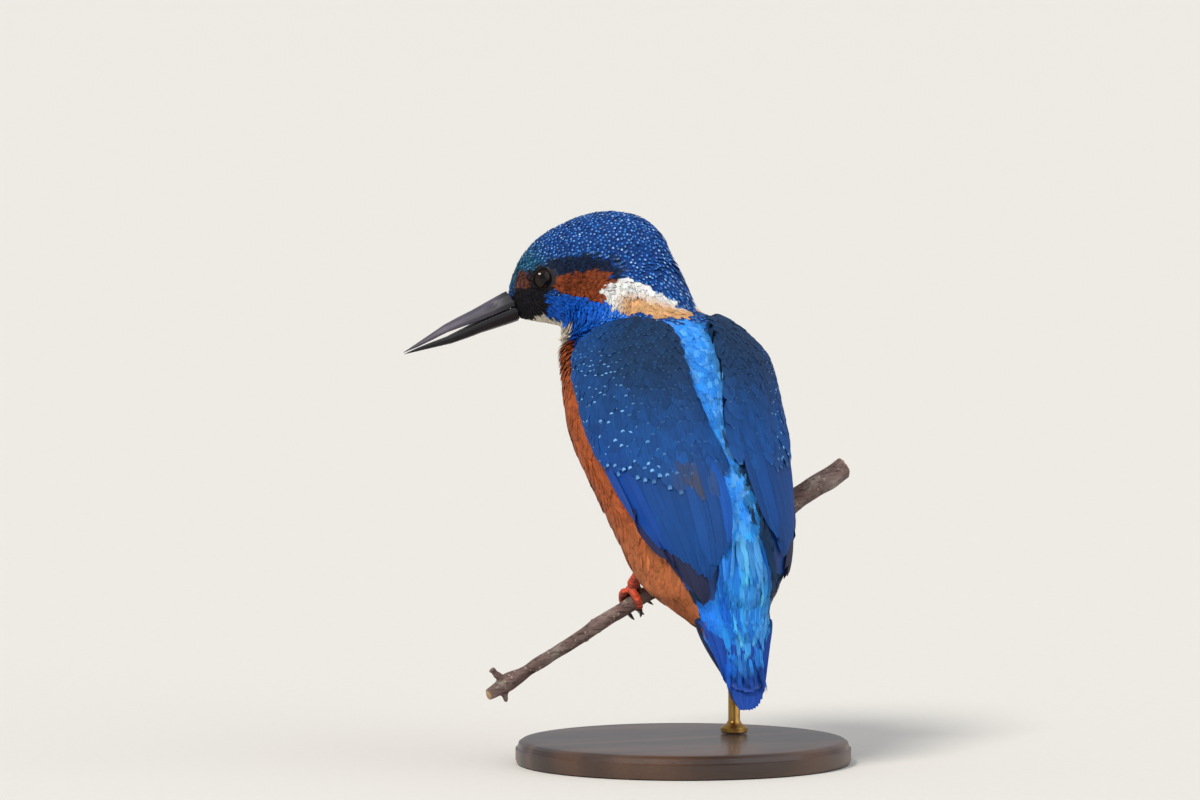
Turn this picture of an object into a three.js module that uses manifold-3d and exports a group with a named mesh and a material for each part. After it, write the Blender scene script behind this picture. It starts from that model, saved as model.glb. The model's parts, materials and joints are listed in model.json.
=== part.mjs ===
// A still, life-size common kingfisher that grips a cut length of branch.
// One rod holds the branch over a round base.
// Millimetres, +Z up, origin at the middle of the base's underside.
// The bird's body faces -Y, its left side is +X, and its head is turned to its left and looks down.

import * as THREE from "three";
import { mergeVertices } from "three/addons/utils/BufferGeometryUtils.js";
import Module from "manifold-3d";

const wasm = await Module();
wasm.setup();

// ---- Driving dimensions ----

const GAP = 0.3; // between neighbouring pieces
const SOCKET_GAP = 0.12; // round an eye in its socket

const BASE_RADIUS = 42;
const BASE_HEIGHT = 6;
const BASE_EDGE = 1.2; // radius of the base's rounded upper edge
const ROD_RADIUS = 1.5;
const COLLAR_RADIUS = 3.4;
const COLLAR_HEIGHT = 2.2;

const PERCH_HEIGHT = 44; // the perch's axis above the floor, midway between the feet
const PERCH_PLACE = new THREE.Vector3(2, -6, PERCH_HEIGHT);
const PERCH_SLOPE = 0.54; // rise per millimetre towards the bird's right
const PERCH_LEVEL = 2; // where it crosses the level of its own frame
const PERCH_LEFT = 49; // reach to the bird's left, at the thin end
const PERCH_RIGHT = 50; // reach to the bird's right, at the thick end
const PERCH_THIN = 1.4;
const PERCH_THICK = 2.9;
const ROD_REACH = 19; // the rod's distance to the bird's right of the perch's middle
// Swellings of the branch: distance along x, height and half-length
const PERCH_NODES = [
  { x: 44, swell: 0.9, long: 3 },
  { x: -34, swell: 0.6, long: 3.5 },
];
// Twigs cut short at the first swelling: the way they grow, their length and radius
const TWIGS = [
  { way: [0.75, 0.1, 0.66], length: 6, radius: 0.95 },
  { way: [0.15, 0.25, -1], length: 4.6, radius: 0.8 },
];

const FOOT_SPREAD = 8; // each foot's distance from the middle
const KNEE = { out: 8.5, back: 10, up: 11 }; // where a leg enters the belly
const TOE_RADIUS = 1.05;
const TOE_SPACING = 1.75;
const FRONT_TOE_SWEEP = 150; // degrees round the perch, from its top
const HIND_TOE_SWEEP = 118;
const CLAW_LENGTH = 2.6;

const HEAD_CENTRE = new THREE.Vector3(16, -18, 78);
const HEAD_TURN = 82; // degrees to the bird's left
const HEAD_DOWN = 22; // degrees below level
const BILL_LENGTH = 31.5; // from the forehead's feather edge to the tip
const BILL_ROOT = 18; // the feather edge, forward of the head's centre
const BILL_DROP = -1; // the bill's axis against the head's centre
const GAPE = 0.5; // half the widest opening between the mandibles
const EYE_RADIUS = 3.1;
const EYE_PLACE = { forward: 10.7, out: 6.3, up: 3.4 };

const WING_TOP = 68.5;
const WING_LENGTH = 70;
// How each wing is held: the rise and spread of its tip, and the turns of the wing and its tip in degrees
const WING_POSE = {
  left: { rise: -1, spread: 0, turn: -1.5, tipTurn: -4 },
  right: { rise: 5, spread: 3, turn: 1.5, tipTurn: 6 },
};

// ---- Helpers ----

const lateral = new THREE.Vector3(1, 0, 0);
const radians = THREE.MathUtils.degToRad;

// A smooth line through [t, value] stations, with no overshoot.
function eased(stations) {
  const slope = (i) => (stations[i + 1][1] - stations[i][1]) / (stations[i + 1][0] - stations[i][0]);
  const lean = stations.map((_, i) => {
    if (i === 0) return slope(0);
    if (i === stations.length - 1) return slope(i - 1);
    const [before, after] = [slope(i - 1), slope(i)];
    return before * after <= 0 ? 0 : (2 * before * after) / (before + after);
  });
  return (t) => {
    let i = 0;
    while (i < stations.length - 2 && t > stations[i + 1][0]) i++;
    const [t0, v0] = stations[i];
    const [t1, v1] = stations[i + 1];
    const span = t1 - t0;
    const u = THREE.MathUtils.clamp((t - t0) / span, 0, 1);
    const bend = u * u * (3 - 2 * u);
    const leaning = u * (1 - u) * ((1 - u) * lean[i] - u * lean[i + 1]) * span;
    return v0 + (v1 - v0) * bend + leaning;
  };
}

// The same for half-widths: squares are eased, so an end at 0 comes out round.
function rounded(stations) {
  const squares = eased(stations.map(([t, v]) => [t, v * v]));
  return (t) => Math.sqrt(Math.max(squares(t), 0));
}

// One column of a table of stations, as [place, value] pairs for eased() or rounded().
const column = (stations, k) => stations.map((row) => [row[0], row[k]]);

// A unit sphere whose points are moved by place(t, turn): t runs from pole to pole, turn goes round.
function shapedSphere(sides, rings, place) {
  const geometry = new THREE.SphereGeometry(1, sides, rings);
  const points = geometry.attributes.position;
  const q = new THREE.Vector3();
  for (let i = 0; i < points.count; i++) {
    q.fromBufferAttribute(points, i);
    const t = (1 - THREE.MathUtils.clamp(q.y, -1, 1)) / 2;
    const turn = Math.hypot(q.x, q.z) < 1e-6 ? 0 : Math.atan2(q.z, q.x);
    const p = place(t, turn);
    points.setXYZ(i, p.x, p.y, p.z);
  }
  return geometry;
}

// A limb whose sections stand across a curve, with half-width wide(t) and half-height high(t).
function limb(curve, side, wide, high, sides, rings) {
  return shapedSphere(sides, rings, (t, turn) => {
    const forward = curve.getTangent(t);
    const across = side.clone().addScaledVector(forward, -side.dot(forward)).normalize();
    const up = forward.clone().cross(across);
    return curve
      .getPoint(t)
      .addScaledVector(across, wide(t) * Math.cos(turn))
      .addScaledVector(up, high(t) * Math.sin(turn));
  });
}

// A closed mesh as a solid, with its faces turned outwards.
function solid(geometry) {
  const bare = geometry.clone();
  bare.deleteAttribute("normal");
  bare.deleteAttribute("uv");
  const merged = mergeVertices(bare, 1e-4);
  const made = (triVerts) => new wasm.Manifold(
    new wasm.Mesh({ numProp: 3, vertProperties: merged.attributes.position.array, triVerts }),
  );
  const faces = new Uint32Array(merged.index.array);
  const facingAsBuilt = made(faces);
  return facingAsBuilt.volume() > 0 ? facingAsBuilt : made(faces.slice().reverse());
}

function geometryOf(made) {
  const mesh = made.getMesh();
  const geometry = new THREE.BufferGeometry();
  geometry.setAttribute("position", new THREE.BufferAttribute(new Float32Array(mesh.vertProperties), 3));
  geometry.setIndex(new THREE.BufferAttribute(new Uint32Array(mesh.triVerts), 1));
  geometry.computeVertexNormals();
  return geometry;
}

// A solid with its surface moved out along its normals.
function grown(made, by = GAP) {
  const geometry = geometryOf(made);
  const points = geometry.attributes.position;
  const normals = geometry.attributes.normal;
  for (let i = 0; i < points.count; i++) {
    points.setXYZ(
      i,
      points.getX(i) + by * normals.getX(i),
      points.getY(i) + by * normals.getY(i),
      points.getZ(i) + by * normals.getZ(i),
    );
  }
  return solid(geometry);
}

const largest = (made) => made.decompose().sort((a, b) => b.volume() - a.volume())[0];

// A piece with its neighbours cut out of it, each a gap larger than it is.
const clearOf = (made, ...neighbours) =>
  largest(neighbours.reduce((left, neighbour) => left.subtract(grown(neighbour)), made));

function material(color, roughness, metalness = 0) {
  return new THREE.MeshStandardMaterial({ color, roughness, metalness });
}

function mesh(name, made, finish) {
  const piece = new THREE.Mesh(geometryOf(made), finish);
  piece.name = name;
  return piece;
}

// ---- Materials ----

const blueFeather = material("#16508f", 0.7);
const darkBlueFeather = material("#1d4275", 0.7);
const orangeFeather = material("#b8643a", 0.8);
const horn = material("#22222a", 0.35);
const eyeBrown = material("#120c0a", 0.08);
const redSkin = material("#c9471f", 0.5);
const clawHorn = material("#2a1512", 0.4);
const bark = material("#6b5149", 0.85);
const wood = material("#3a2a20", 0.5);
const brass = material("#b08d57", 0.3, 1);

// ---- Perch and stand: the perch's own frame has its middle at 0, and x runs to the bird's left ----

const perchHeightAt = (x) => PERCH_SLOPE * (PERCH_LEVEL - x);
const perchSpan = PERCH_LEFT + PERCH_RIGHT;
function perchRadiusAt(x) {
  const share = (PERCH_LEFT - x) / perchSpan;
  const swells = PERCH_NODES.map(({ x: at, swell, long }) => swell * Math.exp(-(((x - at) / long) ** 2)));
  return PERCH_THIN + (PERCH_THICK - PERCH_THIN) * share + swells.reduce((a, b) => a + b, 0);
}

class PerchCurve extends THREE.Curve {
  getPoint(t, target = new THREE.Vector3()) {
    const x = PERCH_LEFT - perchSpan * t;
    return target.set(x, 0, perchHeightAt(x));
  }
}

// A branch is a cylinder laid along its curve, with flat cut ends.
function branch(curve, radiusAt, sides, steps) {
  const geometry = new THREE.CylinderGeometry(1, 1, 1, sides, steps);
  const points = geometry.attributes.position;
  for (let i = 0; i < points.count; i++) {
    const t = points.getY(i) + 0.5;
    const forward = curve.getTangent(t);
    const across = new THREE.Vector3(0, 1, 0).addScaledVector(forward, -forward.y).normalize();
    const up = forward.clone().cross(across);
    const radius = radiusAt(t);
    const p = curve
      .getPoint(t)
      .addScaledVector(across, radius * points.getX(i))
      .addScaledVector(up, radius * points.getZ(i));
    points.setXYZ(i, p.x, p.y, p.z);
  }
  return geometry;
}

// A twig cut short where it leaves the branch.
function twigStub({ way, length, radius }) {
  const [{ x }] = PERCH_NODES;
  const start = new THREE.Vector3(x, 0, perchHeightAt(x));
  const end = start.clone().addScaledVector(new THREE.Vector3(...way).normalize(), length);
  return solid(branch(new THREE.LineCurve3(start, end), (t) => radius * (1.25 - 0.25 * t), 6, 1));
}

function perch() {
  const stem = solid(branch(new PerchCurve(), (t) => perchRadiusAt(PERCH_LEFT - perchSpan * t), 10, 18));
  return TWIGS.reduce((wood, twig) => wood.add(twigStub(twig)), stem);
}

function standBase() {
  const outline = new THREE.Shape();
  outline.moveTo(0, 0);
  outline.lineTo(BASE_RADIUS, 0);
  outline.lineTo(BASE_RADIUS, BASE_HEIGHT - BASE_EDGE);
  outline.absarc(BASE_RADIUS - BASE_EDGE, BASE_HEIGHT - BASE_EDGE, BASE_EDGE, 0, Math.PI / 2, false);
  outline.lineTo(0, BASE_HEIGHT);
  return solid(new THREE.LatheGeometry(outline.getPoints(3), 40).rotateX(Math.PI / 2));
}

function standRod(perchSolid) {
  const foot = new THREE.Vector3(-ROD_REACH, 0, BASE_HEIGHT - PERCH_HEIGHT + GAP);
  const top = perchHeightAt(-ROD_REACH);
  const length = top - foot.z;
  const shaft = new THREE.CylinderGeometry(ROD_RADIUS, ROD_RADIUS, length, 12)
    .rotateX(Math.PI / 2)
    .translate(foot.x, foot.y, foot.z + length / 2);
  const collar = new THREE.CylinderGeometry(COLLAR_RADIUS * 0.8, COLLAR_RADIUS, COLLAR_HEIGHT, 16)
    .rotateX(Math.PI / 2)
    .translate(foot.x, foot.y, foot.z + COLLAR_HEIGHT / 2);
  return clearOf(solid(shaft).add(solid(collar)), perchSolid);
}

// ---- Trunk, neck and tail: the trunk is drawn in level slices, from the neck down ----

// height, middle's y, half-width, depth in front of the middle and behind it
const TRUNK = [
  [72, -7, 0, 0, 0],
  [68, -7, 13, 13, 17],
  [63.5, -6.3, 19.8, 17.5, 21.5],
  [56.5, -3.5, 25.2, 20, 23],
  [49, -2, 26.4, 20.5, 24.8],
  [41.5, 0.2, 26.8, 20.5, 26],
  [34, 4.1, 26, 20, 27.6],
  [26, 9.2, 23.9, 19.6, 28],
  [18, 14, 21.6, 19, 27.6],
  [10, 18.6, 19.5, 18.2, 26],
  [3, 23.6, 18.2, 17.4, 22],
  [-3, 29.5, 12, 11.5, 15],
  [-8, 35, 7, 6.5, 7.5],
  [-12, 38, 0, 0, 0],
];

function trunk() {
  const [top, bottom] = [TRUNK[0][0], TRUNK[TRUNK.length - 1][0]];
  const down = TRUNK.map(([z, ...rest]) => [(top - z) / (top - bottom), ...rest]);
  const middle = eased(column(down, 1));
  const [wide, front, back] = [2, 3, 4].map((k) => rounded(column(down, k)));
  return solid(
    shapedSphere(24, 19, (t, turn) => {
      const deep = Math.sin(turn) > 0 ? back(t) : front(t);
      const y = middle(t) + deep * Math.sin(turn);
      return new THREE.Vector3(wide(t) * Math.cos(turn), y, top + (bottom - top) * t);
    }),
  );
}

function neck() {
  const curve = new THREE.CatmullRomCurve3([
    new THREE.Vector3(-1, 2, 50),
    new THREE.Vector3(2, -6, 60),
    new THREE.Vector3(4.5, -11.5, 68),
    new THREE.Vector3(4.6, -14.5, 77),
    new THREE.Vector3(2.5, -17, 90),
  ]);
  const wide = rounded([[0, 0], [0.2, 16], [0.45, 17], [0.65, 16.2], [0.85, 12], [1, 0]]);
  const high = rounded([[0, 0], [0.2, 14.5], [0.45, 15.4], [0.65, 14], [0.85, 10], [1, 0]]);
  return solid(limb(curve, lateral, wide, high, 20, 11));
}

function tail() {
  const curve = new THREE.CatmullRomCurve3([
    new THREE.Vector3(0, 35, 5),
    new THREE.Vector3(0, 40, -6),
    new THREE.Vector3(0, 43.8, -16),
    new THREE.Vector3(0, 48.5, -27.5),
  ]);
  const wide = rounded([[0, 0], [0.12, 8.4], [0.35, 9.6], [0.6, 7], [0.85, 5.5], [0.94, 4.2], [1, 0]]);
  const high = rounded([[0, 0], [0.12, 6], [0.35, 5], [0.6, 2.4], [0.85, 1.2], [0.95, 0.9], [1, 0]]);
  return solid(limb(curve, lateral, wide, high, 16, 14));
}

// ---- Wings: a pillow wrapped on the body's side, from the shoulder down to the tip ----

// share of the length, then of the closed bird: the middle's y, half-width, depth behind the middle;
// and the pillow's thickness
const WING_ROUND = [
  [0, -7, 14.5, 18.5, 2.4],
  [0.06, -6.4, 21, 23.4, 3],
  [0.17, -3.5, 27.6, 26.4, 3.4],
  [0.28, -2, 28.9, 28.3, 3.6],
  [0.385, 0.2, 29.3, 29.6, 3.6],
  [0.49, 4.1, 28.5, 31, 3.6],
  [0.6, 9, 26.5, 31.3, 3.6],
  [0.72, 13.9, 23.9, 30.6, 3.4],
  [0.83, 18.4, 21.8, 28.2, 2.8],
  [0.93, 23.4, 20.5, 22, 2],
  [1, 28.5, 19, 14.5, 1.2],
];
// share of the length, then the angles of the edges by the back and by the breast,
// in degrees from the back's middle
const WING_EDGES = [
  [0, 48, 48],
  [0.015, 26, 68],
  [0.05, 15, 83],
  [0.1, 12, 88],
  [0.19, 10, 83.5],
  [0.29, 8, 77],
  [0.46, 2, 72.3],
  [0.55, 0.5, 72],
  [0.64, 2, 70.5],
  [0.73, 7, 67],
  [0.82, 12, 58.5],
  [0.89, 20, 50],
  [0.96, 27, 42],
  [1, 33, 33],
];
const PILLOW_FLATNESS = 0.7; // under 1 squares the pillow's section

function wing(side) {
  const hand = side === "left" ? 1 : -1;
  const { rise, spread, turn: wholeTurn, tipTurn } = WING_POSE[side];
  const [middle, wide, deep, thick] = [1, 2, 3, 4].map((k) => eased(column(WING_ROUND, k)));
  const halfAngle = rounded(WING_EDGES.map(([t, back, front]) => [t, (front - back) / 2]));
  const midAngle = eased(WING_EDGES.map(([t, back, front]) => [t, (front + back) / 2]));
  const squared = (v) => Math.sign(v) * Math.abs(v) ** PILLOW_FLATNESS;
  return solid(
    shapedSphere(18, 19, (t, turn) => {
      const across = halfAngle(t) * squared(Math.cos(turn));
      const angle = radians(midAngle(t) + across + wholeTurn + tipTurn * t ** 3);
      const depth = (thick(t) * (1 - squared(Math.sin(turn)))) / 2;
      const x = (wide(t) - depth + spread * t ** 3) * Math.sin(angle);
      const y = middle(t) + (deep(t) - depth) * Math.cos(angle);
      return new THREE.Vector3(hand * x, y, WING_TOP - WING_LENGTH * t + rise * t ** 3);
    }),
  );
}

// ---- Head: its own frame has x forward along the bill, y to the left and z up ----

// forward, height of the lower and the upper profile, half-width
const HEAD = [
  [-24, -1, -1, 0],
  [-22, -7, 5.5, 5.8],
  [-18, -11.5, 9.4, 9.6],
  [-13, -12.8, 12, 11.8],
  [-7, -13.2, 13.4, 12.4],
  [-1, -12.6, 13.5, 12],
  [5, -11.2, 12.9, 10.8],
  [10, -9.4, 11, 8.8],
  [13.5, -7.8, 8.6, 7],
  [16.5, -6.2, 5.6, 5.1],
  [18.5, -4.8, 2.9, 3.3],
  [20, -1, -1, 0],
];
// share of the length from inside the head to the tip, half-width, height of one mandible
const MANDIBLE = [
  [0, 3.9, 4.2],
  [0.2, 3.5, 3.9],
  [0.5, 2.4, 2.7],
  [0.72, 1.5, 1.7],
  [0.9, 0.7, 0.8],
  [1, 0.12, 0.15],
];
const BILL_INSIDE = 6; // how far the mandibles' shapes start inside the head

function headShape() {
  const [back, front] = [HEAD[0][0], HEAD[HEAD.length - 1][0]];
  const along = HEAD.map(([x, low, top, wide]) => {
    const t = (x - back) / (front - back);
    return [t, (low + top) / 2, (top - low) / 2, wide];
  });
  const middle = eased(column(along, 1));
  const [high, wide] = [2, 3].map((k) => rounded(column(along, k)));
  return solid(
    shapedSphere(22, 18, (t, turn) => {
      const y = wide(t) * Math.cos(turn);
      const z = middle(t) + high(t) * Math.sin(turn);
      return new THREE.Vector3(back + (front - back) * t, y, z);
    }),
  );
}

// Half a round section over a flat cutting edge, narrowing to the tip.
function mandible(up, headSolid) {
  const wide = eased(column(MANDIBLE, 1));
  const tall = eased(column(MANDIBLE, 2));
  const length = BILL_LENGTH + BILL_INSIDE;
  const geometry = new THREE.CylinderGeometry(1, 1, 1, 10, 9);
  const points = geometry.attributes.position;
  for (let i = 0; i < points.count; i++) {
    const t = points.getY(i) + 0.5;
    const round = points.getZ(i);
    const opening = GAP / 2 + GAPE * Math.sin(Math.PI * THREE.MathUtils.smoothstep(t, 0.3, 1)) ** 2;
    const height = opening + Math.max(round, 0) * tall(t) + Math.min(round, 0) * 0.02;
    const x = BILL_ROOT - BILL_INSIDE + length * t;
    points.setXYZ(i, x, points.getX(i) * wide(t), BILL_DROP + up * height);
  }
  return clearOf(solid(geometry), headSolid);
}

function eye(hand) {
  const ball = new THREE.SphereGeometry(EYE_RADIUS, 14, 9);
  return solid(ball.translate(EYE_PLACE.forward, hand * EYE_PLACE.out, EYE_PLACE.up));
}

function headFrame() {
  const forward = new THREE.Vector3(
    Math.cos(radians(HEAD_DOWN)) * Math.sin(radians(HEAD_TURN)),
    -Math.cos(radians(HEAD_DOWN)) * Math.cos(radians(HEAD_TURN)),
    -Math.sin(radians(HEAD_DOWN)),
  );
  const left = new THREE.Vector3(Math.cos(radians(HEAD_TURN)), Math.sin(radians(HEAD_TURN)), 0);
  const frame = new THREE.Group();
  frame.setRotationFromMatrix(new THREE.Matrix4().makeBasis(forward, left, forward.clone().cross(left)));
  frame.position.copy(HEAD_CENTRE);
  frame.updateMatrix();
  return frame;
}

// ---- Legs: each foot's own frame has x along the perch and z away from it ----

function footFrame(hand) {
  const x = hand * FOOT_SPREAD;
  const frame = new THREE.Group();
  frame.position.set(x, 0, perchHeightAt(x));
  frame.rotation.y = Math.atan(PERCH_SLOPE);
  frame.updateMatrix();
  return frame;
}

// An arc round the perch that starts at its top; a sweep below 0 goes to the back.
class GripCurve extends THREE.Curve {
  constructor(radius, start, sweep, along, splay) {
    super();
    Object.assign(this, { radius, start, sweep, along, splay });
  }
  getPoint(t, target = new THREE.Vector3()) {
    const angle = radians(this.start + this.sweep * t);
    return target.set(
      this.along + this.splay * t,
      -this.radius * Math.sin(angle),
      this.radius * Math.cos(angle),
    );
  }
}

// The toes of the left foot: place and splay along the perch in toe spacings, and sweep round it.
// The right foot mirrors them.
const TOES = [
  { name: "inner", along: -1, splay: -0.9, sweep: FRONT_TOE_SWEEP * 0.8 },
  { name: "middle", along: 0, splay: 0.1, sweep: FRONT_TOE_SWEEP },
  { name: "outer", along: 1, splay: 0.5, sweep: FRONT_TOE_SWEEP * 0.92 },
  { name: "hind", along: 0.2, splay: 0.6, sweep: -HIND_TOE_SWEEP },
];

function toeCurve(toe, hand, from, to) {
  const grip = perchRadiusAt(hand * FOOT_SPREAD) + GAP + TOE_RADIUS;
  const along = hand * toe.along * TOE_SPACING;
  const splay = hand * toe.splay * TOE_SPACING;
  const share = to - from;
  return new GripCurve(grip, toe.sweep * from, toe.sweep * share, along + splay * from, splay * share);
}

function toe(shape, hand) {
  const pads = [[0.08, 1.1], [0.3, 1], [0.4, 1.12], [0.55, 0.95], [0.7, 1.05], [0.92, 0.82]];
  const thick = rounded([[0, 0], ...pads, [1, 0]]);
  const radius = (t) => TOE_RADIUS * thick(t);
  return solid(limb(toeCurve(shape, hand, -0.06, 1), lateral, radius, radius, 7, 8));
}

function claw(shape, hand, toeSolid) {
  const grip = toeCurve(shape, hand, 0.94, 1);
  const start = grip.getPoint(0);
  const along = grip.getTangent(1);
  const outward = new THREE.Vector3(0, start.y, start.z).normalize();
  const curve = new THREE.QuadraticBezierCurve3(
    start,
    start.clone().addScaledVector(along, CLAW_LENGTH * 0.6).addScaledVector(outward, 0.5),
    start.clone().addScaledVector(along, CLAW_LENGTH * 1.25).addScaledVector(outward, -0.3),
  );
  const thick = eased([[0, 0], [0.1, 0.62], [0.5, 0.5], [1, 0.06]]);
  return clearOf(solid(limb(curve, lateral, thick, thick, 5, 5)), toeSolid);
}

function leg(hand, frame, trunkSolid, perchSolid) {
  const grip = perchRadiusAt(hand * FOOT_SPREAD) + GAP + TOE_RADIUS;
  const ankle = new THREE.Vector3(0, 0, grip).applyMatrix4(frame.matrix);
  const knee = new THREE.Vector3(hand * KNEE.out, KNEE.back, KNEE.up);
  const shin = new THREE.LineCurve3(ankle, knee);
  const thick = rounded([[0, 0], [0.06, 1.75], [0.3, 1.35], [0.7, 1.6], [1, 1.4]]);
  const inFoot = TOES.map((shape) => toe(shape, hand).transform(frame.matrix.elements));
  const whole = inFoot.reduce((a, b) => a.add(b), solid(limb(shin, lateral, thick, thick, 8, 5)));
  return clearOf(whole, trunkSolid, perchSolid);
}

// ---- The whole part ----

const perchSolid = perch();
const headLocal = headShape();
const face = headFrame();
const eyes = { left: eye(1), right: eye(-1) };
const sockets = grown(eyes.left, SOCKET_GAP).add(grown(eyes.right, SOCKET_GAP));
const headCut = largest(headLocal.subtract(sockets));
const headPlaced = headLocal.transform(face.matrix.elements);
const [trunkWhole, neckWhole] = [trunk(), neck()];
const wingsWhole = [wing("left"), wing("right")];
const [wingLeft, wingRight] = wingsWhole.map((whole) => clearOf(whole, headPlaced));

face.add(
  mesh("head", headCut, blueFeather),
  mesh("bill_upper", mandible(1, headLocal), horn),
  mesh("bill_lower", mandible(-1, headLocal), horn),
  mesh("eye_left", eyes.left, eyeBrown),
  mesh("eye_right", eyes.right, eyeBrown),
);

const bird = new THREE.Group();
bird.add(
  face,
  mesh("neck", clearOf(neckWhole, headPlaced, trunkWhole, ...wingsWhole), blueFeather),
  mesh("trunk", clearOf(trunkWhole, headPlaced, ...wingsWhole), orangeFeather),
  mesh("wing_left", wingLeft, darkBlueFeather),
  mesh("wing_right", wingRight, darkBlueFeather),
  mesh("tail", clearOf(tail(), trunkWhole, ...wingsWhole), blueFeather),
  mesh("perch", perchSolid, bark),
  mesh("stand_rod", standRod(perchSolid), brass),
);
for (const [side, hand] of [["left", 1], ["right", -1]]) {
  const frame = footFrame(hand);
  bird.add(mesh(`leg_${side}`, leg(hand, frame, trunkWhole, perchSolid), redSkin));
  for (const shape of TOES) {
    frame.add(mesh(`claw_${side}_${shape.name}`, claw(shape, hand, toe(shape, hand)), clawHorn));
  }
  bird.add(frame);
}
bird.position.copy(PERCH_PLACE);

const kingfisher = new THREE.Group();
kingfisher.add(bird, mesh("stand_base", standBase(), wood));

export default kingfisher;
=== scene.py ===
# %% [markdown]
# # A common kingfisher, life size
# A kingfisher is a small, stout bird with a dagger of a bill. Hardly any of its skin shows: what we see is
# some thousands of feathers, each lying over the roots of the next ones. So this lesson makes the bird as a
# bird-model maker would. A plain body comes first, then a skin a little smaller than the finished bird, and
# then the coat, tract by tract, from the tail up to the face. The solids that carry the model are loaded as
# a fixed frame, and every place below is measured from them.

# %% Load the frame
import json
import math

import bmesh
import bpy
import numpy as np
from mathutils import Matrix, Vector, noise
from mathutils.bvhtree import BVHTree

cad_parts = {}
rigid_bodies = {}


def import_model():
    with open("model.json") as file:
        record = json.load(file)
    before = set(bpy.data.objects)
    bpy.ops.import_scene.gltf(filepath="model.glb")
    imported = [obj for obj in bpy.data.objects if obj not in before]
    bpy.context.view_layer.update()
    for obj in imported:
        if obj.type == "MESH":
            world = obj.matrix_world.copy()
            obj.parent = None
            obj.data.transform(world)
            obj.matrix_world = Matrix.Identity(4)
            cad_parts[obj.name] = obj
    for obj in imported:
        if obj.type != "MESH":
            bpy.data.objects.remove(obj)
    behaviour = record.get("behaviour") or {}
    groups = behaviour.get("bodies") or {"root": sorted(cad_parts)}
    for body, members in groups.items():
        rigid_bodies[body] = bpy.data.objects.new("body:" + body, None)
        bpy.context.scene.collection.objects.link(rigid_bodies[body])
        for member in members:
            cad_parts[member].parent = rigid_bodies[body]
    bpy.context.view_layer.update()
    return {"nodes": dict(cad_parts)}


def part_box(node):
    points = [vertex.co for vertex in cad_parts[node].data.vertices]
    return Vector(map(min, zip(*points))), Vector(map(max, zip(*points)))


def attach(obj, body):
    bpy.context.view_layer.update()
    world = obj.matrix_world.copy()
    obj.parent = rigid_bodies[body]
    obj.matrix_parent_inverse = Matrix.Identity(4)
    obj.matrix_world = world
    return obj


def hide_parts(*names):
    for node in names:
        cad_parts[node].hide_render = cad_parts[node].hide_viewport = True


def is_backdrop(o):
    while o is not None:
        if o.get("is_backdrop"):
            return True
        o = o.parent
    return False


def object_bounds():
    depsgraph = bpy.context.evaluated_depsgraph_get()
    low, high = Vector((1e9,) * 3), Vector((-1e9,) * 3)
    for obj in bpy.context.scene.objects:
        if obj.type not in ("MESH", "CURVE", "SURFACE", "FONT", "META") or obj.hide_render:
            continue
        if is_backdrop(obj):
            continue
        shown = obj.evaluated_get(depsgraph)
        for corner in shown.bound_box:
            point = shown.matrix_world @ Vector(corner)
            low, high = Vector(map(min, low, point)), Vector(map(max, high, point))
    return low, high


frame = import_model()
MM = 0.001
SEED = 20
random = np.random.default_rng(SEED)
print("frame:", len(frame["nodes"]), "nodes")

# %% [markdown]
# ## Measuring the bird
# A feather has to know where it is: above the eye, on the throat, on the rump. Two sets of axes say so. The
# head has its own, found from the eyes and the bill, because the bird looks to its left and down. The body
# keeps the model's axes, and a place on it is a height and an angle round its middle line. Numbers are in
# millimetres, since nobody thinks of a feather in metres.

# %% Helpers for measuring


def points_of(*nodes):
    """The corners of some solids, in millimetres."""
    return np.concatenate([np.array([v.co for v in frame["nodes"][n].data.vertices]) for n in nodes]) / MM


def middle_of(node):
    """The middle of a solid's box, in millimetres."""
    low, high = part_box(node)
    return np.array((low + high) / 2) / MM


def unit(v):
    """Vectors of length 1 with the same directions."""
    return v / np.maximum(np.linalg.norm(v, axis=-1, keepdims=True), 1e-9)


def step(low, high, x):
    """0 below low, 1 above high, and a smooth rise between them."""
    t = np.clip((x - low) / (high - low), 0, 1)
    return t * t * (3 - 2 * t)


def flat_on(v, normals):
    """The part of a direction that lies in the surface with these normals, at length 1."""
    return unit(v - (v * normals).sum(-1, keepdims=True) * normals)


def lumps(points, size, seed):
    """A smooth random height at each place, from -1 to 1."""
    return np.array([noise.noise(Vector(p / size) + Vector((seed, seed, seed))) for p in points])


print("measuring: the left eye's middle", middle_of("eye_left").round(1))

# %% [markdown]
# ## The head's own axes
# The bird looks over its left shoulder and down, so no place on its head lines up with the model's axes. The
# line between the eyes gives left and right, and the bill gives forward. What is square to both is up. A
# cheek, an eye stripe or a crown spot is then a plain pair of numbers, the same on both sides.

# %% The head's axes
EYE_FORWARD, EYE_UP = 10.7, 3.4  # the eyes' place, from the head's middle
TIP_SLICE = 0.5  # the length of the bill's end that gives the place of its tip
ROOT_SLICE = 3  # the length of its near end that gives the place of its root

eye_left, eye_right = middle_of("eye_left"), middle_of("eye_right")
between_eyes = (eye_left + eye_right) / 2
bill_points = points_of("bill_upper", "bill_lower")
reach = np.linalg.norm(bill_points - between_eyes, axis=1)
bill_tip = bill_points[reach > reach.max() - TIP_SLICE].mean(0)
bill_root = bill_points[reach < reach.min() + ROOT_SLICE].mean(0)
head_left = unit(eye_left - eye_right)
along_bill = bill_tip - bill_root
head_forward = unit(along_bill - (along_bill @ head_left) * head_left)
head_up = np.cross(head_forward, head_left)
head_axes = np.stack([head_forward, head_left, head_up], 1)
head_middle = between_eyes - EYE_FORWARD * head_forward - EYE_UP * head_up


def in_head(points):
    """Places as forward, left and up from the head's middle."""
    return (points - head_middle) @ head_axes


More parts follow.
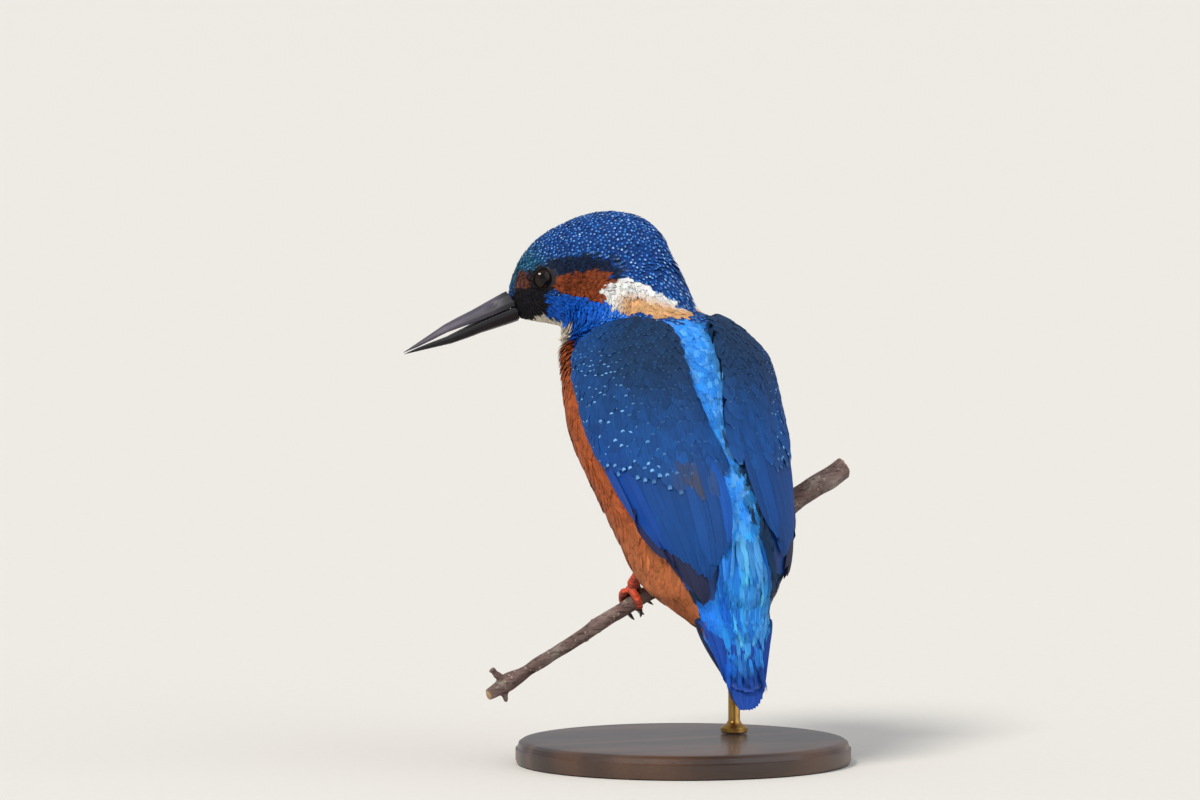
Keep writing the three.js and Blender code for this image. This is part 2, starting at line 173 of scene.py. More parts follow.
def from_head(forward, left, up):
    """A place given from the head's middle, in the model's axes."""
    return head_middle + head_axes @ np.array([forward, left, up])


print("head: middle", head_middle.round(1), "forward", head_forward.round(3))
print("bill:", np.linalg.norm(along_bill).round(1), "millimetres from root to tip")

# %% [markdown]
# ## The body's middle line
# A hunched bird is a bent spindle. At a row of heights, the middle between its back and its breast is
# measured from the solids, and the row is smoothed a little. Round that line, an angle says whether a place
# is on the back, a flank or the breast. The tail leans away from it in a plane of its own, which tells its
# blue upper side from its dark underside.

# %% The body's middle line
LEVELS = 22  # heights at which the body is measured
SLICE = 3.2  # how far above and below each height its corners count
LEAN_SPAN = 4  # the line's direction is taken over this much to either side

body_points = points_of("trunk", "wing_left", "wing_right")
mid_x = middle_of("trunk")[0]
levels = np.linspace(body_points[:, 2].min() + 2, body_points[:, 2].max() - 3, LEVELS)
near_level = [body_points[abs(body_points[:, 2] - z) < SLICE, 1] for z in levels]
level_y = np.array([(ys.min() + ys.max()) / 2 for ys in near_level])
level_y = np.convolve(np.pad(level_y, 2, mode="edge"), np.ones(5) / 5, mode="valid")


def body_middle(z):
    """The y of the body's middle line at a height."""
    return np.interp(z, levels, level_y)


def round_body(points):
    """The angle round the body in degrees: 0 at the back, 90 at the bird's left, 180 at the breast."""
    return np.degrees(np.arctan2(points[..., 0] - mid_x, points[..., 1] - body_middle(points[..., 2])))


def down_body(points):
    """The direction down the body's middle line, from neck to tail."""
    z = points[..., 2]
    lean = (body_middle(z - LEAN_SPAN) - body_middle(z + LEAN_SPAN)) / (2 * LEAN_SPAN)
    return unit(np.stack([0 * z, lean, -np.ones_like(z)], -1))


tail_points = points_of("tail")
tail_lean, tail_y = np.polyfit(tail_points[:, 2], tail_points[:, 1], 1)
TAIL_TOP, TAIL_END = tail_points[:, 2].max(), tail_points[:, 2].min()


def under_tail(points):
    """1 on the underside of the tail and its coverts, 0 elsewhere."""
    behind = points[:, 1] - (tail_y + tail_lean * points[:, 2])
    return step(-0.2, -0.8, behind) * step(TAIL_TOP + 6, TAIL_TOP + 3, points[:, 2])


print("body: middle x", round(mid_x, 2), "y", level_y.round(1))

# %% [markdown]
# ## The workbench
# Most pieces here begin as a copy of a solid, because the solid already has the right place and size. These
# helpers do what a modeller does by hand: pick one piece, add a modifier and apply it, swell a surface,
# smooth its shading. The solids themselves are never touched. Where a whole surface is worked over by a
# formula, its corners are read as one array and put back as one array, which is much faster than a loop.

# %% Helpers for modelling


def deselect():
    """Leaves nothing selected."""
    if bpy.context.object and bpy.context.object.mode != "OBJECT":
        bpy.ops.object.mode_set(mode="OBJECT")
    bpy.ops.object.select_all(action="DESELECT")


def take(piece):
    """Selects one piece alone and makes it the active one."""
    deselect()
    piece.select_set(True)
    bpy.context.view_layer.objects.active = piece
    return piece


def modifier(piece, kind, **settings):
    """Adds a modifier, sets it and applies it."""
    take(piece)
    made = piece.modifiers.new(kind.title(), kind)
    for name, value in settings.items():
        setattr(made, name, value)
    bpy.ops.object.modifier_apply(modifier=made.name)


def copy_of(name, *nodes):
    """One new object with the merged meshes of some solids, which stay where they are."""
    copies = []
    for node in nodes:
        made = bpy.data.objects.new(name, frame["nodes"][node].data.copy())
        bpy.context.scene.collection.objects.link(made)
        copies.append(made)
    take(copies[0])
    for made in copies:
        made.select_set(True)
    bpy.ops.object.join()
    made = bpy.context.object
    made.data.materials.clear()
    bpy.ops.object.mode_set(mode="EDIT")
    bpy.ops.mesh.select_all(action="SELECT")
    bpy.ops.mesh.remove_doubles(threshold=0.00002)
    bpy.ops.object.mode_set(mode="OBJECT")
    return made


def places(piece):
    """A piece's corners, in millimetres."""
    co = np.empty(len(piece.data.vertices) * 3, np.float32)
    piece.data.vertices.foreach_get("co", co)
    return co.reshape(-1, 3).astype(float) / MM


def normals_of(piece):
    """The normals at a piece's corners."""
    no = np.empty(len(piece.data.vertices) * 3, np.float32)
    piece.data.vertex_normals.foreach_get("vector", no)
    return no.reshape(-1, 3).astype(float)


def move_to(piece, points):
    """Moves a piece's corners to these places, in millimetres."""
    piece.data.vertices.foreach_set("co", (points * MM).astype(np.float32).ravel())
    piece.data.update()


def shade(piece, degrees=50):
    """Smooth shading that keeps edges sharper than this."""
    take(piece)
    bpy.ops.object.shade_smooth_by_angle(angle=math.radians(degrees))


def swell(piece, by):
    """Moves a piece's surface out along its normals, in millimetres."""
    take(piece)
    bpy.ops.object.mode_set(mode="EDIT")
    bpy.ops.mesh.select_all(action="SELECT")
    bpy.ops.transform.shrink_fatten(value=by * MM)
    bpy.ops.object.mode_set(mode="OBJECT")


print("workbench ready")

# %% [markdown]
# ## A surface that answers questions
# A feather must lie on the body, so it has to ask where the nearest skin is and which way that skin faces. A
# tree of triangles answers fast. The same object also scatters places evenly over itself, by picking
# triangles in proportion to their area, which is how feathers will find their roots.

# %% Surfaces that can be asked for their nearest point


class Surface:
    """A mesh that can be asked for its nearest point and the smooth normal there."""

    def __init__(self, piece):
        self.points = places(piece)
        self.normals = normals_of(piece)
        piece.data.calc_loop_triangles()
        corners = np.empty(len(piece.data.loop_triangles) * 3, np.int32)
        piece.data.loop_triangles.foreach_get("vertices", corners)
        self.corners = corners.reshape(-1, 3)
        self.tree = BVHTree.FromPolygons(self.points.tolist(), self.corners.tolist())

    def nearest(self, points):
        """The nearest places on the surface, and the normals there."""
        found = [self.tree.find_nearest(Vector(p)) for p in points]
        where = np.array([f[0] for f in found])
        corners = self.corners[[f[2] for f in found]]
        weight = 1 / (np.linalg.norm(self.points[corners] - where[:, None], axis=2) + 0.05)
        normals = (self.normals[corners] * weight[..., None]).sum(1)
        return where, unit(normals)

    def area(self):
        """The area of each triangle."""
        a, b, c = (self.points[self.corners[:, k]] for k in range(3))
        return np.linalg.norm(np.cross(b - a, c - a), axis=1) / 2

    def scattered(self, count):
        """Random places spread evenly over the surface."""
        area = self.area()
        face = random.choice(len(area), count, p=area / area.sum())
        u, v = random.random((2, count))
        outside = u + v > 1
        u, v = np.where(outside, 1 - u, u), np.where(outside, 1 - v, v)
        a, b, c = (self.points[self.corners[face, k]] for k in range(3))
        return a + (b - a) * u[:, None] + (c - a) * v[:, None]


print("surface helper ready")

# %% [markdown]
# ## The skin
# A plucked bird is one smooth form with no seams. The solids of head, neck, trunk, wings and tail are copied
# with the eyes, swelled a hair so that they overlap, joined, and wrapped in one new surface by a voxel
# remesh. The surface then shrinks by the coat's depth, which is greatest on the body, less on the face, and
# least on the tail. The legs are bare, and join it later.

# %% The body under the coat
FLESH = ["head", "neck", "trunk", "wing_left", "wing_right", "tail"]
LEGS = ["leg_left", "leg_right"]
FIRST_VOXEL, SKIN_VOXEL = 0.8, 0.7  # the faces' size before and after the skin shrinks
SEAM = 0.3  # how far the solids swell, so that the gaps between them close
COAT_DEPTH, FACE_DEPTH, TAIL_DEPTH = 1.0, 0.6, 0.25  # how far the skin lies inside the finished bird
TAIL_KEPT, TAIL_DRAWN = 7, 0.3  # below this height over its end, the tail's skin is drawn up to this share


def coat_depth(points):
    """How far the skin lies inside the finished bird."""
    face = 1 - step(-6, 12, np.linalg.norm(points - from_head(16, 0, 1), axis=1) - 8)
    tail = step(TAIL_TOP + 5, TAIL_TOP - 2, points[:, 2])
    depth = COAT_DEPTH + (FACE_DEPTH - COAT_DEPTH) * face
    from_eye = np.minimum(*(np.linalg.norm(points - place, axis=1) for place in (eye_left, eye_right)))
    return (depth + (TAIL_DEPTH - depth) * tail) * (0.4 + 0.6 * step(3.4, 6, from_eye))


body = copy_of("body", *FLESH, "eye_left", "eye_right")
swell(body, SEAM)
modifier(body, "REMESH", mode="VOXEL", voxel_size=FIRST_VOXEL * MM)
modifier(body, "SMOOTH", factor=0.5, iterations=6)
outer_surface = Surface(body)
move_to(body, places(body) - normals_of(body) * (coat_depth(places(body)) + SEAM)[:, None])
points = places(body)
# Only feathers reach the end of the tail, so its skin stops short.
end = TAIL_END + TAIL_KEPT
points[:, 2] = np.where(points[:, 2] < end, end + (points[:, 2] - end) * TAIL_DRAWN, points[:, 2])
move_to(body, points)
modifier(body, "REMESH", mode="VOXEL", voxel_size=SKIN_VOXEL * MM)
modifier(body, "SMOOTH", factor=0.5, iterations=6)
print("body:", len(body.data.vertices), "corners")

# %% [markdown]
# ## The eyes' openings
# The skin was wrapped round the eyeballs too, so it bulges where they are. A round opening is pressed in
# over each eye, down to just inside the ball, and the skin beside it is kept a hair above the ball, as
# eyelids are. Pressing the surface in keeps it one closed skin, where a cut hole would leave a raw edge.

# %% The eyes' openings
OPENING = 2.45  # half the width of the opening between the lids
EYE_SINK = 0.35  # how far the finished eyeballs sit inside the solid ones
eye_low, eye_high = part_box("eye_left")
EYE_RADIUS = max(eye_high - eye_low) / MM / 2
EYES = [(eye_left - EYE_SINK * head_left, head_left), (eye_right + EYE_SINK * head_left, -head_left)]

points = places(body)
for centre, axis in EYES:
    out = points - centre
    gap = np.linalg.norm(out, axis=1)
    ahead = out @ axis
    aside = np.linalg.norm(out - ahead[:, None] * axis, axis=1)
    wanted = EYE_RADIUS + np.interp(aside, [1.6, OPENING, OPENING + 0.6, 4.6], [-1.2, 0.05, 0.2, -0.4])
    moved = np.where(aside < OPENING, np.minimum(gap, wanted), np.maximum(gap, wanted))
    share = step(5.0, 3.8, aside) * (ahead > 0)
    points = centre + out * ((gap + (moved - gap) * share) / gap)[:, None]
move_to(body, points)
print("eyes: radius", round(EYE_RADIUS, 2), "opening", OPENING)

# %% [markdown]
# ## Where a feather lies
# Feathers are laid on the finished skin. Each one's middle line walks along it by a few short steps, turning
# with the heading there, so that a long feather bends round the body as a real one does.

# %% Surfaces to lay feathers on
skin_surface = Surface(body)  # legs are joined to the body later
print("skin area:", round(skin_surface.area().sum() / 100), "square centimetres")

# %% [markdown]
# ## Which way feathers point
# Feathers grow backwards from the bill. On the head they spread from its root over crown, cheek and throat;
# on the body they run down to the tail. A heading is therefore the mix of two simple fields, laid flat on
# the skin, and no seam shows at the neck.

# %% Headings


def heading(points, normals):
    """The direction in which feathers point."""
    from_bill = flat_on(unit(points - bill_root), normals)
    downward = flat_on(down_body(points), normals)
    away = np.linalg.norm(points - from_head(-2, 0, 0), axis=1)
    below = -in_head(points)[:, 2]
    share = step(13, 24, away + 0.35 * (below > 0) * below)[:, None]
    return flat_on(from_bill * (1 - share) + downward * share, normals)


crown_place = from_head(0, 0, 12)[None]
print("a crown feather points", heading(crown_place, head_up[None])[0].round(2))

# %% [markdown]
# ## Room for each feather
# Feathers set out in rows look printed. Instead, many more places are scattered than are wanted, and one is
# kept only if it is far enough from all that were kept before it. The skin is cut up into cells as wide as
# the largest gap, so that each place is compared with its neighbours alone.

# %% Spacing


def spaced(candidates, gap_at):
    """The candidates that keep at least the spacing at their place from all that were kept before."""
    gaps = gap_at(candidates)
    cell = gaps.max()
    grid, kept = {}, []
    keys = np.floor(candidates / cell).astype(int)
    around = [(i, j, k) for i in (-1, 0, 1) for j in (-1, 0, 1) for k in (-1, 0, 1)]
    for n, (p, gap, (a, b, c)) in enumerate(zip(candidates.tolist(), gaps.tolist(), keys.tolist())):
        close = (q for i, j, k in around for q in grid.get((a + i, b + j, c + k), ()))
        if all((p[0] - q[0]) ** 2 + (p[1] - q[1]) ** 2 + (p[2] - q[2]) ** 2 > gap * gap for q in close):
            grid.setdefault((a, b, c), []).append(p)
            kept.append(n)
    return candidates[kept]


print("spacing helper ready")

# %% [markdown]
# ## Feather shapes
# Each kind of feather is modelled once, lying flat along Y: a grid whose rows are drawn in to the outline of
# the vane, with its middle column lifted into the shaft. The underside is closed with one face, so every
# feather is a thin solid. Down-like feathers end in separate barbs, pulled out of their tip's edges.

# %% Modelling a feather
HAIR = 1e-4  # how near to a row or to the shaft a corner counts as being on it
TIP_FALL = (0.3, 0.6, 1)  # how far the outer corners of the last three rows fall back


def pick(piece, test, kind="VERT"):
    """Selects the corners, edges or faces of the piece in edit mode whose middle passes a test."""
    bpy.ops.mesh.select_mode(type=kind)
    bpy.ops.mesh.select_all(action="DESELECT")
    mesh = bmesh.from_edit_mesh(piece.data)
    items = {"VERT": mesh.verts, "EDGE": mesh.edges, "FACE": mesh.faces}[kind]
    for item in items:
        middle = item.co if kind == "VERT" else sum((v.co for v in item.verts), Vector()) / len(item.verts)
        item.select = bool(test(middle, item))
    mesh.select_flush_mode()
    bmesh.update_edit_mesh(piece.data)


class Feather:
    """A feather's shape: x across in half-widths, y along in lengths, z up, and its triangles."""

    def __init__(self, name, across, along, width, shaft=0.25, barbs=0, barb=0.14):
        deselect()
        bpy.ops.mesh.primitive_grid_add(x_subdivisions=across, y_subdivisions=along, size=2)
        piece = bpy.context.object
        bpy.ops.object.mode_set(mode="EDIT")
        bpy.ops.transform.resize(value=(1, 0.5, 1))
        bpy.ops.transform.translate(value=(0, 0.5, 0))
        rows = sorted({round(v.co.y, 5) for v in bmesh.from_edit_mesh(piece.data).verts})
        for y in rows:
            pick(piece, lambda p, _: abs(p.y - y) < HAIR)
            bpy.ops.transform.resize(value=(width(y), 1, 1), orient_type="GLOBAL")
        # The outer corners of the last rows fall back, which rounds the tip.
        for y, back in zip(rows[-3:], TIP_FALL):
            pick(piece, lambda p, _: abs(p.y - y) < HAIR and abs(p.x) > width(y) * 0.85)
            bpy.ops.transform.translate(value=(0, -back * (rows[-1] - rows[-2]) * 0.8, 0))
        pick(piece, lambda p, item: not item.is_boundary)
        bpy.ops.transform.translate(value=(0, 0, shaft * 0.6))
        pick(piece, lambda p, item: not item.is_boundary and abs(p.x) < HAIR)
        bpy.ops.transform.translate(value=(0, 0, shaft * 0.4))
        if barbs:
            self.pull_barbs(piece, barbs, barb)
        pick(piece, lambda _, item: item.is_boundary, "EDGE")
        bpy.ops.mesh.edge_face_add()
        bpy.ops.mesh.select_all(action="SELECT")
        bpy.ops.mesh.quads_convert_to_tris(quad_method="BEAUTY", ngon_method="BEAUTY")
        bpy.ops.mesh.normals_make_consistent(inside=False)
        bpy.ops.object.mode_set(mode="OBJECT")
        self.points = places(piece) * MM
        self.faces = np.array([p.vertices[:] for p in piece.data.polygons])
        bpy.data.objects.remove(piece)
        print(name, "feather:", len(self.faces), "triangles")

    @staticmethod
    def pull_barbs(piece, start, length):
        """Draws every edge of the outline past start out into a barb of its own."""
        mesh = bmesh.from_edit_mesh(piece.data)
        rim = [e for e in mesh.edges if e.is_boundary and min(v.co.y for v in e.verts) > start]
        for n, edge in enumerate(rim):
            middle = (edge.verts[0].co + edge.verts[1].co) / 2
            reach = length * (0.75 + 0.5 * ((n * 0.618) % 1))
            out = Vector((middle.x * 0.22, 1, 0)).normalized() * reach
            made = mesh.verts.new(middle + out)
            mesh.faces.new((edge.verts[0], edge.verts[1], made))
        bmesh.update_edit_mesh(piece.data)


def spoon(root, full, tip):
    """A width that grows from root to 1 at full, and narrows to tip at the end."""

    def width(y):
        grow = root + (1 - root) * math.sin(min(y / full, 1) * math.pi / 2)
        fall = max(y - full, 0) / (1 - full)
        return grow * (tip + (1 - tip) * math.sqrt(max(1 - fall**2.2, 0)))

    return width

# %% [markdown]
# ## Five kinds of feather
# The crown has short stiff scales, the wing broader coverts, the body loose plumes, the face fine hair-like
# feathers, and wings and tail long quills. All come from the same recipe, with another outline and other
# barbs, and each has only a few dozen faces, because thousands of copies follow.

# %% Five kinds of feather
scale = Feather("scale", 4, 5, spoon(0.45, 0.6, 0.5), shaft=0.14, barbs=0.75, barb=0.07)
covert = Feather("covert", 6, 7, spoon(0.4, 0.6, 0.5), shaft=0.12, barbs=0.85, barb=0.03)
plume = Feather("plume", 6, 4, spoon(0.35, 0.6, 0.6), shaft=0.1, barbs=0.4, barb=0.16)
hair = Feather("hair", 4, 3, spoon(0.5, 0.5, 0.5), shaft=0.14, barbs=0.3, barb=0.3)
quill = Feather("quill", 4, 14, spoon(0.5, 0.45, 0.4), shaft=0.1)

# %% [markdown]
# ## Laying a tract
# One function lays every tract. It walks each feather's middle line, bends the modelled shape along it, lifts
# the tip clear of the next feathers' roots, and joins all in one mesh. Each feather keeps two things for its
# finish: a small map of its own, across and along the vane, and a patch of the coat's map, at the place of
# its root on the body rolled out flat.

# %% Bending along a line
WALK = 4  # places on each middle line


def bend_weights(y):
    """Each place's share at y, for a smooth curve through the places, and the same for its slope."""
    at = np.linspace(0, 1, WALK)
    value = np.ones((len(y), WALK))
    slope = np.zeros((len(y), WALK))
    for k in range(WALK):
        others = [m for m in range(WALK) if m != k]
        for m in others:
            value[:, k] *= (y - at[m]) / (at[k] - at[m])
        for m in others:
            rest = [q for q in others if q != m]
            term = np.ones_like(y) / (at[k] - at[m])
            for q in rest:
                term = term * (y - at[q]) / (at[k] - at[q])
            slope[:, k] += term
    return value, slope


print("shares of the places half way:", bend_weights(np.array([0.5]))[0].round(2))

# %% [markdown]
# ## A map of the coat
# For the coat's colours to be baked into a picture, each feather needs a patch of its own on a flat map.
# The body is rolled out like a rug, round its middle line and along it from bill to tail, and the patch
# lies where the feather has its root. Neighbours on the bird stay neighbours on the map.

# %% A map of the coat
PATCH = 0.003  # a feather's size on the map
MARGIN = 0.01  # what is left free round the map's edge


def rolled_out(points):
    """Places on the body rolled out flat: round the body, and along it from bill to tail."""
    head = in_head(points)
    share = step(14, 26, np.linalg.norm(points - head_middle, axis=1))
    turn_head = np.degrees(np.arctan2(head[:, 1], head[:, 2])) / 360
    turn_body = round_body(points) / 360
    along_head = (24 - head[:, 0]) / 40
    along_body = 1.2 + (head_middle[2] - points[:, 2]) / 80
    turn = np.where(share > 0.5, turn_body, turn_head)
    return np.stack([turn, along_head * (1 - share) + along_body * share], 1)


def to_square(uv):
    """Stretches places on a map to fill it, less a small margin."""
    low, high = uv.min(0), uv.max(0)
    return MARGIN + (1 - 2 * MARGIN) * (uv - low) / np.maximum(high - low, 1e-6)


print("head and body meet on the map at", rolled_out(head_middle[None] - [0, 0, 20])[0].round(2))

# %% [markdown]
# ## From arrays to a mesh
# Thousands of feathers, each an object of its own, would choke the scene. A tract is therefore one mesh, made
# in one go from arrays of corners and triangles, with a value of each map and colour at every corner. The
# middle lines are walked for a whole tract at once too, as one array with a few places for each feather.

# %% Joining and walking


def joined(name, points, faces, maps, colours):
    """One mesh piece from places in millimetres, triangles, and the corners' maps and colours."""
    mesh = bpy.data.meshes.new(name)
    mesh.vertices.add(len(points))
    mesh.vertices.foreach_set("co", (points * MM).astype(np.float32).ravel())
    mesh.loops.add(faces.size)
    mesh.loops.foreach_set("vertex_index", faces.astype(np.int32).ravel())
    mesh.polygons.add(len(faces))
    mesh.polygons.foreach_set("loop_start", np.arange(0, faces.size, 3, dtype=np.int32))
    for label, uv in maps.items():
        layer = mesh.uv_layers.new(name=label)
        layer.uv.foreach_set("vector", uv[faces.ravel()].astype(np.float32).ravel())
    for label, rgba in colours.items():
        layer = mesh.color_attributes.new(label, "FLOAT_COLOR", "POINT")
        layer.data.foreach_set("color", rgba.astype(np.float32).ravel())
    mesh.update(calc_edges=True)
    made = bpy.data.objects.new(name, mesh)
    bpy.context.scene.collection.objects.link(made)
    return made


STIFF = 0.5  # how much of its direction a feather keeps from one place to the next


def middle_lines(roots, normals, lengths, surface, way=heading):
    """Walks from each root along the surface. Returns the places and normals, WALK to a feather."""
    path, ups = [roots], [normals]
    ahead = way(roots, normals)
    for _ in range(WALK - 1):
        place, up = surface.nearest(path[-1] + ahead * (lengths / (WALK - 1))[:, None])
        ahead = flat_on(STIFF * ahead + (1 - STIFF) * way(place, up), up)
        path.append(place)
        ups.append(up)
    return np.stack(path, 1), np.stack(ups, 1)


print("each feather's middle line has", WALK, "places")

# %% [markdown]
# ## Laying feathers
# A feather follows its middle line, lifted from the skin by one height at its root and another at its tip.
# Across the line it is as wide as its tract asks for, and it is rolled a little about it at random, so that
# no two catch the light alike. Where a tip is worn, its colour changes over the middle of the vane.

# %% Laying feathers
LIFT_NOISE = 0.05  # how unevenly feathers lie, in millimetres
LAST_BEND = 1.05  # barbs past this length go straight on
TIP_START, TIP_FULL = 0.4, 0.7  # where along a feather the colour of its tip begins, and where it is full


def feathers(name, shape, path, ups, widths, tint, mark, lift, roll, flat=None, tip=None):
    """Bends a feather shape along each middle line and joins them. Lift gives the heights of root and tip
    over the surface, roll the spread of their turn in degrees, flat their places on the map if not those of
    the body rolled out, and tip the colour of their tips if it differs."""
    count = len(path)
    y = shape.points[:, 1]
    value, slope = bend_weights(np.clip(y, 0, LAST_BEND))
    climb = np.linspace(0, 1, WALK)
    low, high = (np.broadcast_to(h, count)[:, None] for h in lift)
    height = low + (high - low) * climb + random.normal(0, LIFT_NOISE, count)[:, None]
    lines = path + ups * height[..., None]
    centre = np.einsum("vk,nkc->nvc", value, lines)
    forward = unit(np.einsum("vk,nkc->nvc", slope, lines))
    up = unit(np.einsum("vk,nkc->nvc", value, ups))
    reach = np.linalg.norm(path[:, -1] - path[:, 0], axis=1)
    centre = centre + forward * ((y - LAST_BEND).clip(0)[None, :, None] * reach[:, None, None])
    across = unit(np.cross(forward, up))
    up = np.cross(across, forward)
    turn = np.radians(random.normal(0, roll, count))[:, None, None]
    across, up = across * np.cos(turn) + up * np.sin(turn), up * np.cos(turn) - across * np.sin(turn)
    x, z = shape.points[None, :, 0, None], shape.points[None, :, 2, None]
    half = (widths / 2)[:, None, None]
    points = centre + across * x * half + up * z * half
    faces = shape.faces[None] + (np.arange(count) * len(y))[:, None, None]
    own = np.stack([shape.points[:, 0] / 2 + 0.5, np.clip(y, 0, 1.2) / 1.2], 1)
    flat = to_square(rolled_out(path[:, 0]) if flat is None else flat)
    patch = flat[:, None] + PATCH * (own[None] - 0.5)
    maps = {"OFBake": patch.reshape(-1, 2), "Vane": np.tile(own, (count, 1))}
    tints, marks = np.repeat(tint, len(y), axis=0), np.repeat(mark, len(y), axis=0)
    if tip is not None:
        share = np.tile(step(TIP_START, TIP_FULL, y), count)[:, None]
        tints = tints + (np.repeat(tip, len(y), axis=0) - tints) * share
    colours = {"tint": np.hstack([tints, np.ones((len(tints), 1))]), "mark": marks}
    made = joined(name, points.reshape(-1, 3), faces.reshape(-1, 3), maps, colours)
    shade(made)
    print(f"{name}: {count} feathers, {faces.size // 3} triangles")
    return made


print("feathers are laid unevenly by", LIFT_NOISE, "millimetres")

# %% [markdown]
# ## The markings
# One function will paint the whole bird, so that skin and coat always agree: given places, it returns the
# colour of the plumage there and the colour of the spot at a feather's tip. First come the named colours and
# two ways to lay one over another. Real kingfisher blue is no pigment. It is light scattered in the barbs,
# which is why the back glows brighter than the wings, and why the spots look paler than the sky.

# %% Colours


def paint(code):
    """A colour given as a hex code, as the light that it reflects."""
    srgb = np.array([int(code[i : i + 2], 16) for i in (0, 2, 4)]) / 255
    return np.where(srgb <= 0.04045, srgb / 12.92, ((srgb + 0.055) / 1.055) ** 2.4)


CROWN_BLUE = paint("07397f")
CROWN_GREEN = paint("0e4a63")
CROWN_SPOT = paint("3f90e2")
CROWN_EDGE = paint("0a1e3c")
LORE_RUST = paint("6b3a1e")
LORE_BLACK = paint("141218")
EAR_RUST = paint("873f1e")
MALAR_BLUE = paint("1062d2")
THROAT_CREAM = paint("eadfca")
NECK_WHITE = paint("e6e6e4")
NECK_BUFF = paint("cf9e6c")
BREAST_ORANGE = paint("a95327")
BELLY_ORANGE = paint("b4673c")
MANTLE_TEAL = paint("143253")
WING_BLUE = paint("0f4788")
WING_DEEP = paint("0e3c80")
WING_SPOT = paint("7ab8f0")
WING_BRIGHT = paint("0e50c0")
SPOT_WHITE = paint("b9dcfa")
BACK_AZURE = paint("2b8cf0")
BACK_PALE = paint("62b4fb")
RUMP_AZURE = paint("30a2ff")
STREAK_BLUE = paint("1364d8")
TEAL_SHADING = paint("0d5f8c")
LEG_PALE = paint("e2c3ab")
TAIL_BLUE = paint("12429a")
TAIL_UNDER = paint("2b3550")
DUSKY = paint("2a2636")
WORN_BROWN = paint("40414c")
FOOT_RED = paint("c9481f")
FOOT_DARK = paint("5e2622")


def over(ground, colour, share):
    """Lays a colour over a ground, where the share is 1."""
    return ground + (colour - ground) * share[:, None]


def edged(ground, colour, share):
    """Lays a colour over a ground with an edge made of whole feathers, each of one colour or the other."""
    return over(ground, colour, (random.random(len(share)) < share).astype(float))


def plain_coat(colour, count):
    """The same colour for so many places."""
    return np.repeat(colour[None], count, axis=0)


print("back, wing and breast reflect", BACK_AZURE.round(2), WING_BLUE.round(2), BREAST_ORANGE.round(2))

# %% [markdown]
# ## The head's markings
# The head is drawn from its side, like a map: f runs forward from its middle, u up, and s out to either side.
# Each marking is bounded by lines given as a row of f and the u at each. A spotted crown comes down to a
# dark band, rusty ear coverts lie behind the eye, a blue stripe runs down from the bill, and the throat is
# pale. Borders are made of whole feathers of one colour or the other, since feathers don't blend.

# %% The head's markings
# Each line is a row of f and a row of u.
EAR_TOP = [-4.5, -2.5, 0.5, 4.8, 8, 9.2], [-2.8, -0.5, 1.3, 2.2, 2.8, 1.5]
EAR_LOW = [-4.5, -2, 0.9, 2.7, 5.7, 9.2], [-3.8, -6.4, -7.0, -6.0, -3.3, -0.6]
MALAR_TOP = [-4, -1.4, 1.5, 5.9, 11.6, 13.5], [-7.0, -6.6, -6.4, -3.6, -0.6, -1.4]
MALAR_LOW = [0, 4, 6.5, 8.1, 9.7, 13.6, 15], [-15, -13.4, -11, -9.4, -8.2, -4.6, -4.0]


def head_colours(points):
    """Plumage of the head, from its own axes: f forward, s to either side, u up."""
    f, left, u = in_head(points).T
    s = abs(left)
    colour = plain_coat(CROWN_BLUE, len(points))
    colour = over(colour, CROWN_GREEN, step(5, 12, f) * step(1, 5, u))
    ear_top, ear_low = np.interp(f, *EAR_TOP), np.interp(f, *EAR_LOW)
    malar_top, malar_low = np.interp(f, *MALAR_TOP), np.interp(f, *MALAR_LOW)
    # A dark band runs from above the eye to the nape, under the spotted crown.
    over_ear = u - ear_top
    band = step(4.9, 3.3, over_ear) * step(-1.2, 0, over_ear) * step(3, 5.5, s) * step(-9, -5, f)
    colour = edged(colour, CROWN_EDGE, band)
    # The pale throat, and the blue malar stripe above it.
    cheek = step(8.5, 10, s) * step(-2, 2, f)
    below = step(0.5, -0.5, u - malar_low) * step(-14, -7, f) * step(10, 8.5, s)
    below = np.maximum(below, step(4.4, 3.4, s) * step(-3.4, -4.4, u) * step(-6, -2, f))
    colour = edged(colour, THROAT_CREAM, below)
    above_throat = np.maximum(step(-0.3, 0.3, u - malar_low), cheek)
    malar = step(0.3, -0.3, u - malar_top) * above_throat * step(13.6, 12.2, f) * step(3.4, 4.4, s)
    colour = edged(colour, MALAR_BLUE, malar)
    # Rusty ear coverts behind the eye, a darker rusty place before it, and black from eye to gape.
    ear = step(0.3, -0.3, u - ear_top) * step(-0.3, 0.3, u - ear_low) * step(9.8, 9.0, f)
    ear = ear * step(-4.8, -4.0, f) * step(3.5, 5.5, s)
    colour = edged(colour, EAR_RUST, ear)
    lore = step(12.8, 14, f) * step(2.0, 3.0, u) * step(7.4, 6.2, u) * step(7.5, 5.5, s) * step(1.4, 2.2, s)
    colour = over(colour, LORE_RUST, lore * 0.85)
    black = step(3.0, 2.2, u - 0.1 * (f - 13)) * step(-5.6, -4.4, u)
    black = black * step(11.2, 12.8, f) * step(1.0, 2.0, s + (u < 0) * 2)
    around_eye = np.hypot(f - EYE_FORWARD, u - EYE_UP)
    ring = step(3.5, 2.9, around_eye) * step(3, 5, s)
    plain = np.clip(ear + below + band + malar + black + ring + lore, 0, 1)
    return edged(colour, LORE_BLACK, np.maximum(black, ring)), plain


print("ear coverts reach from f", EAR_TOP[0][0], "to", EAR_TOP[0][-1])

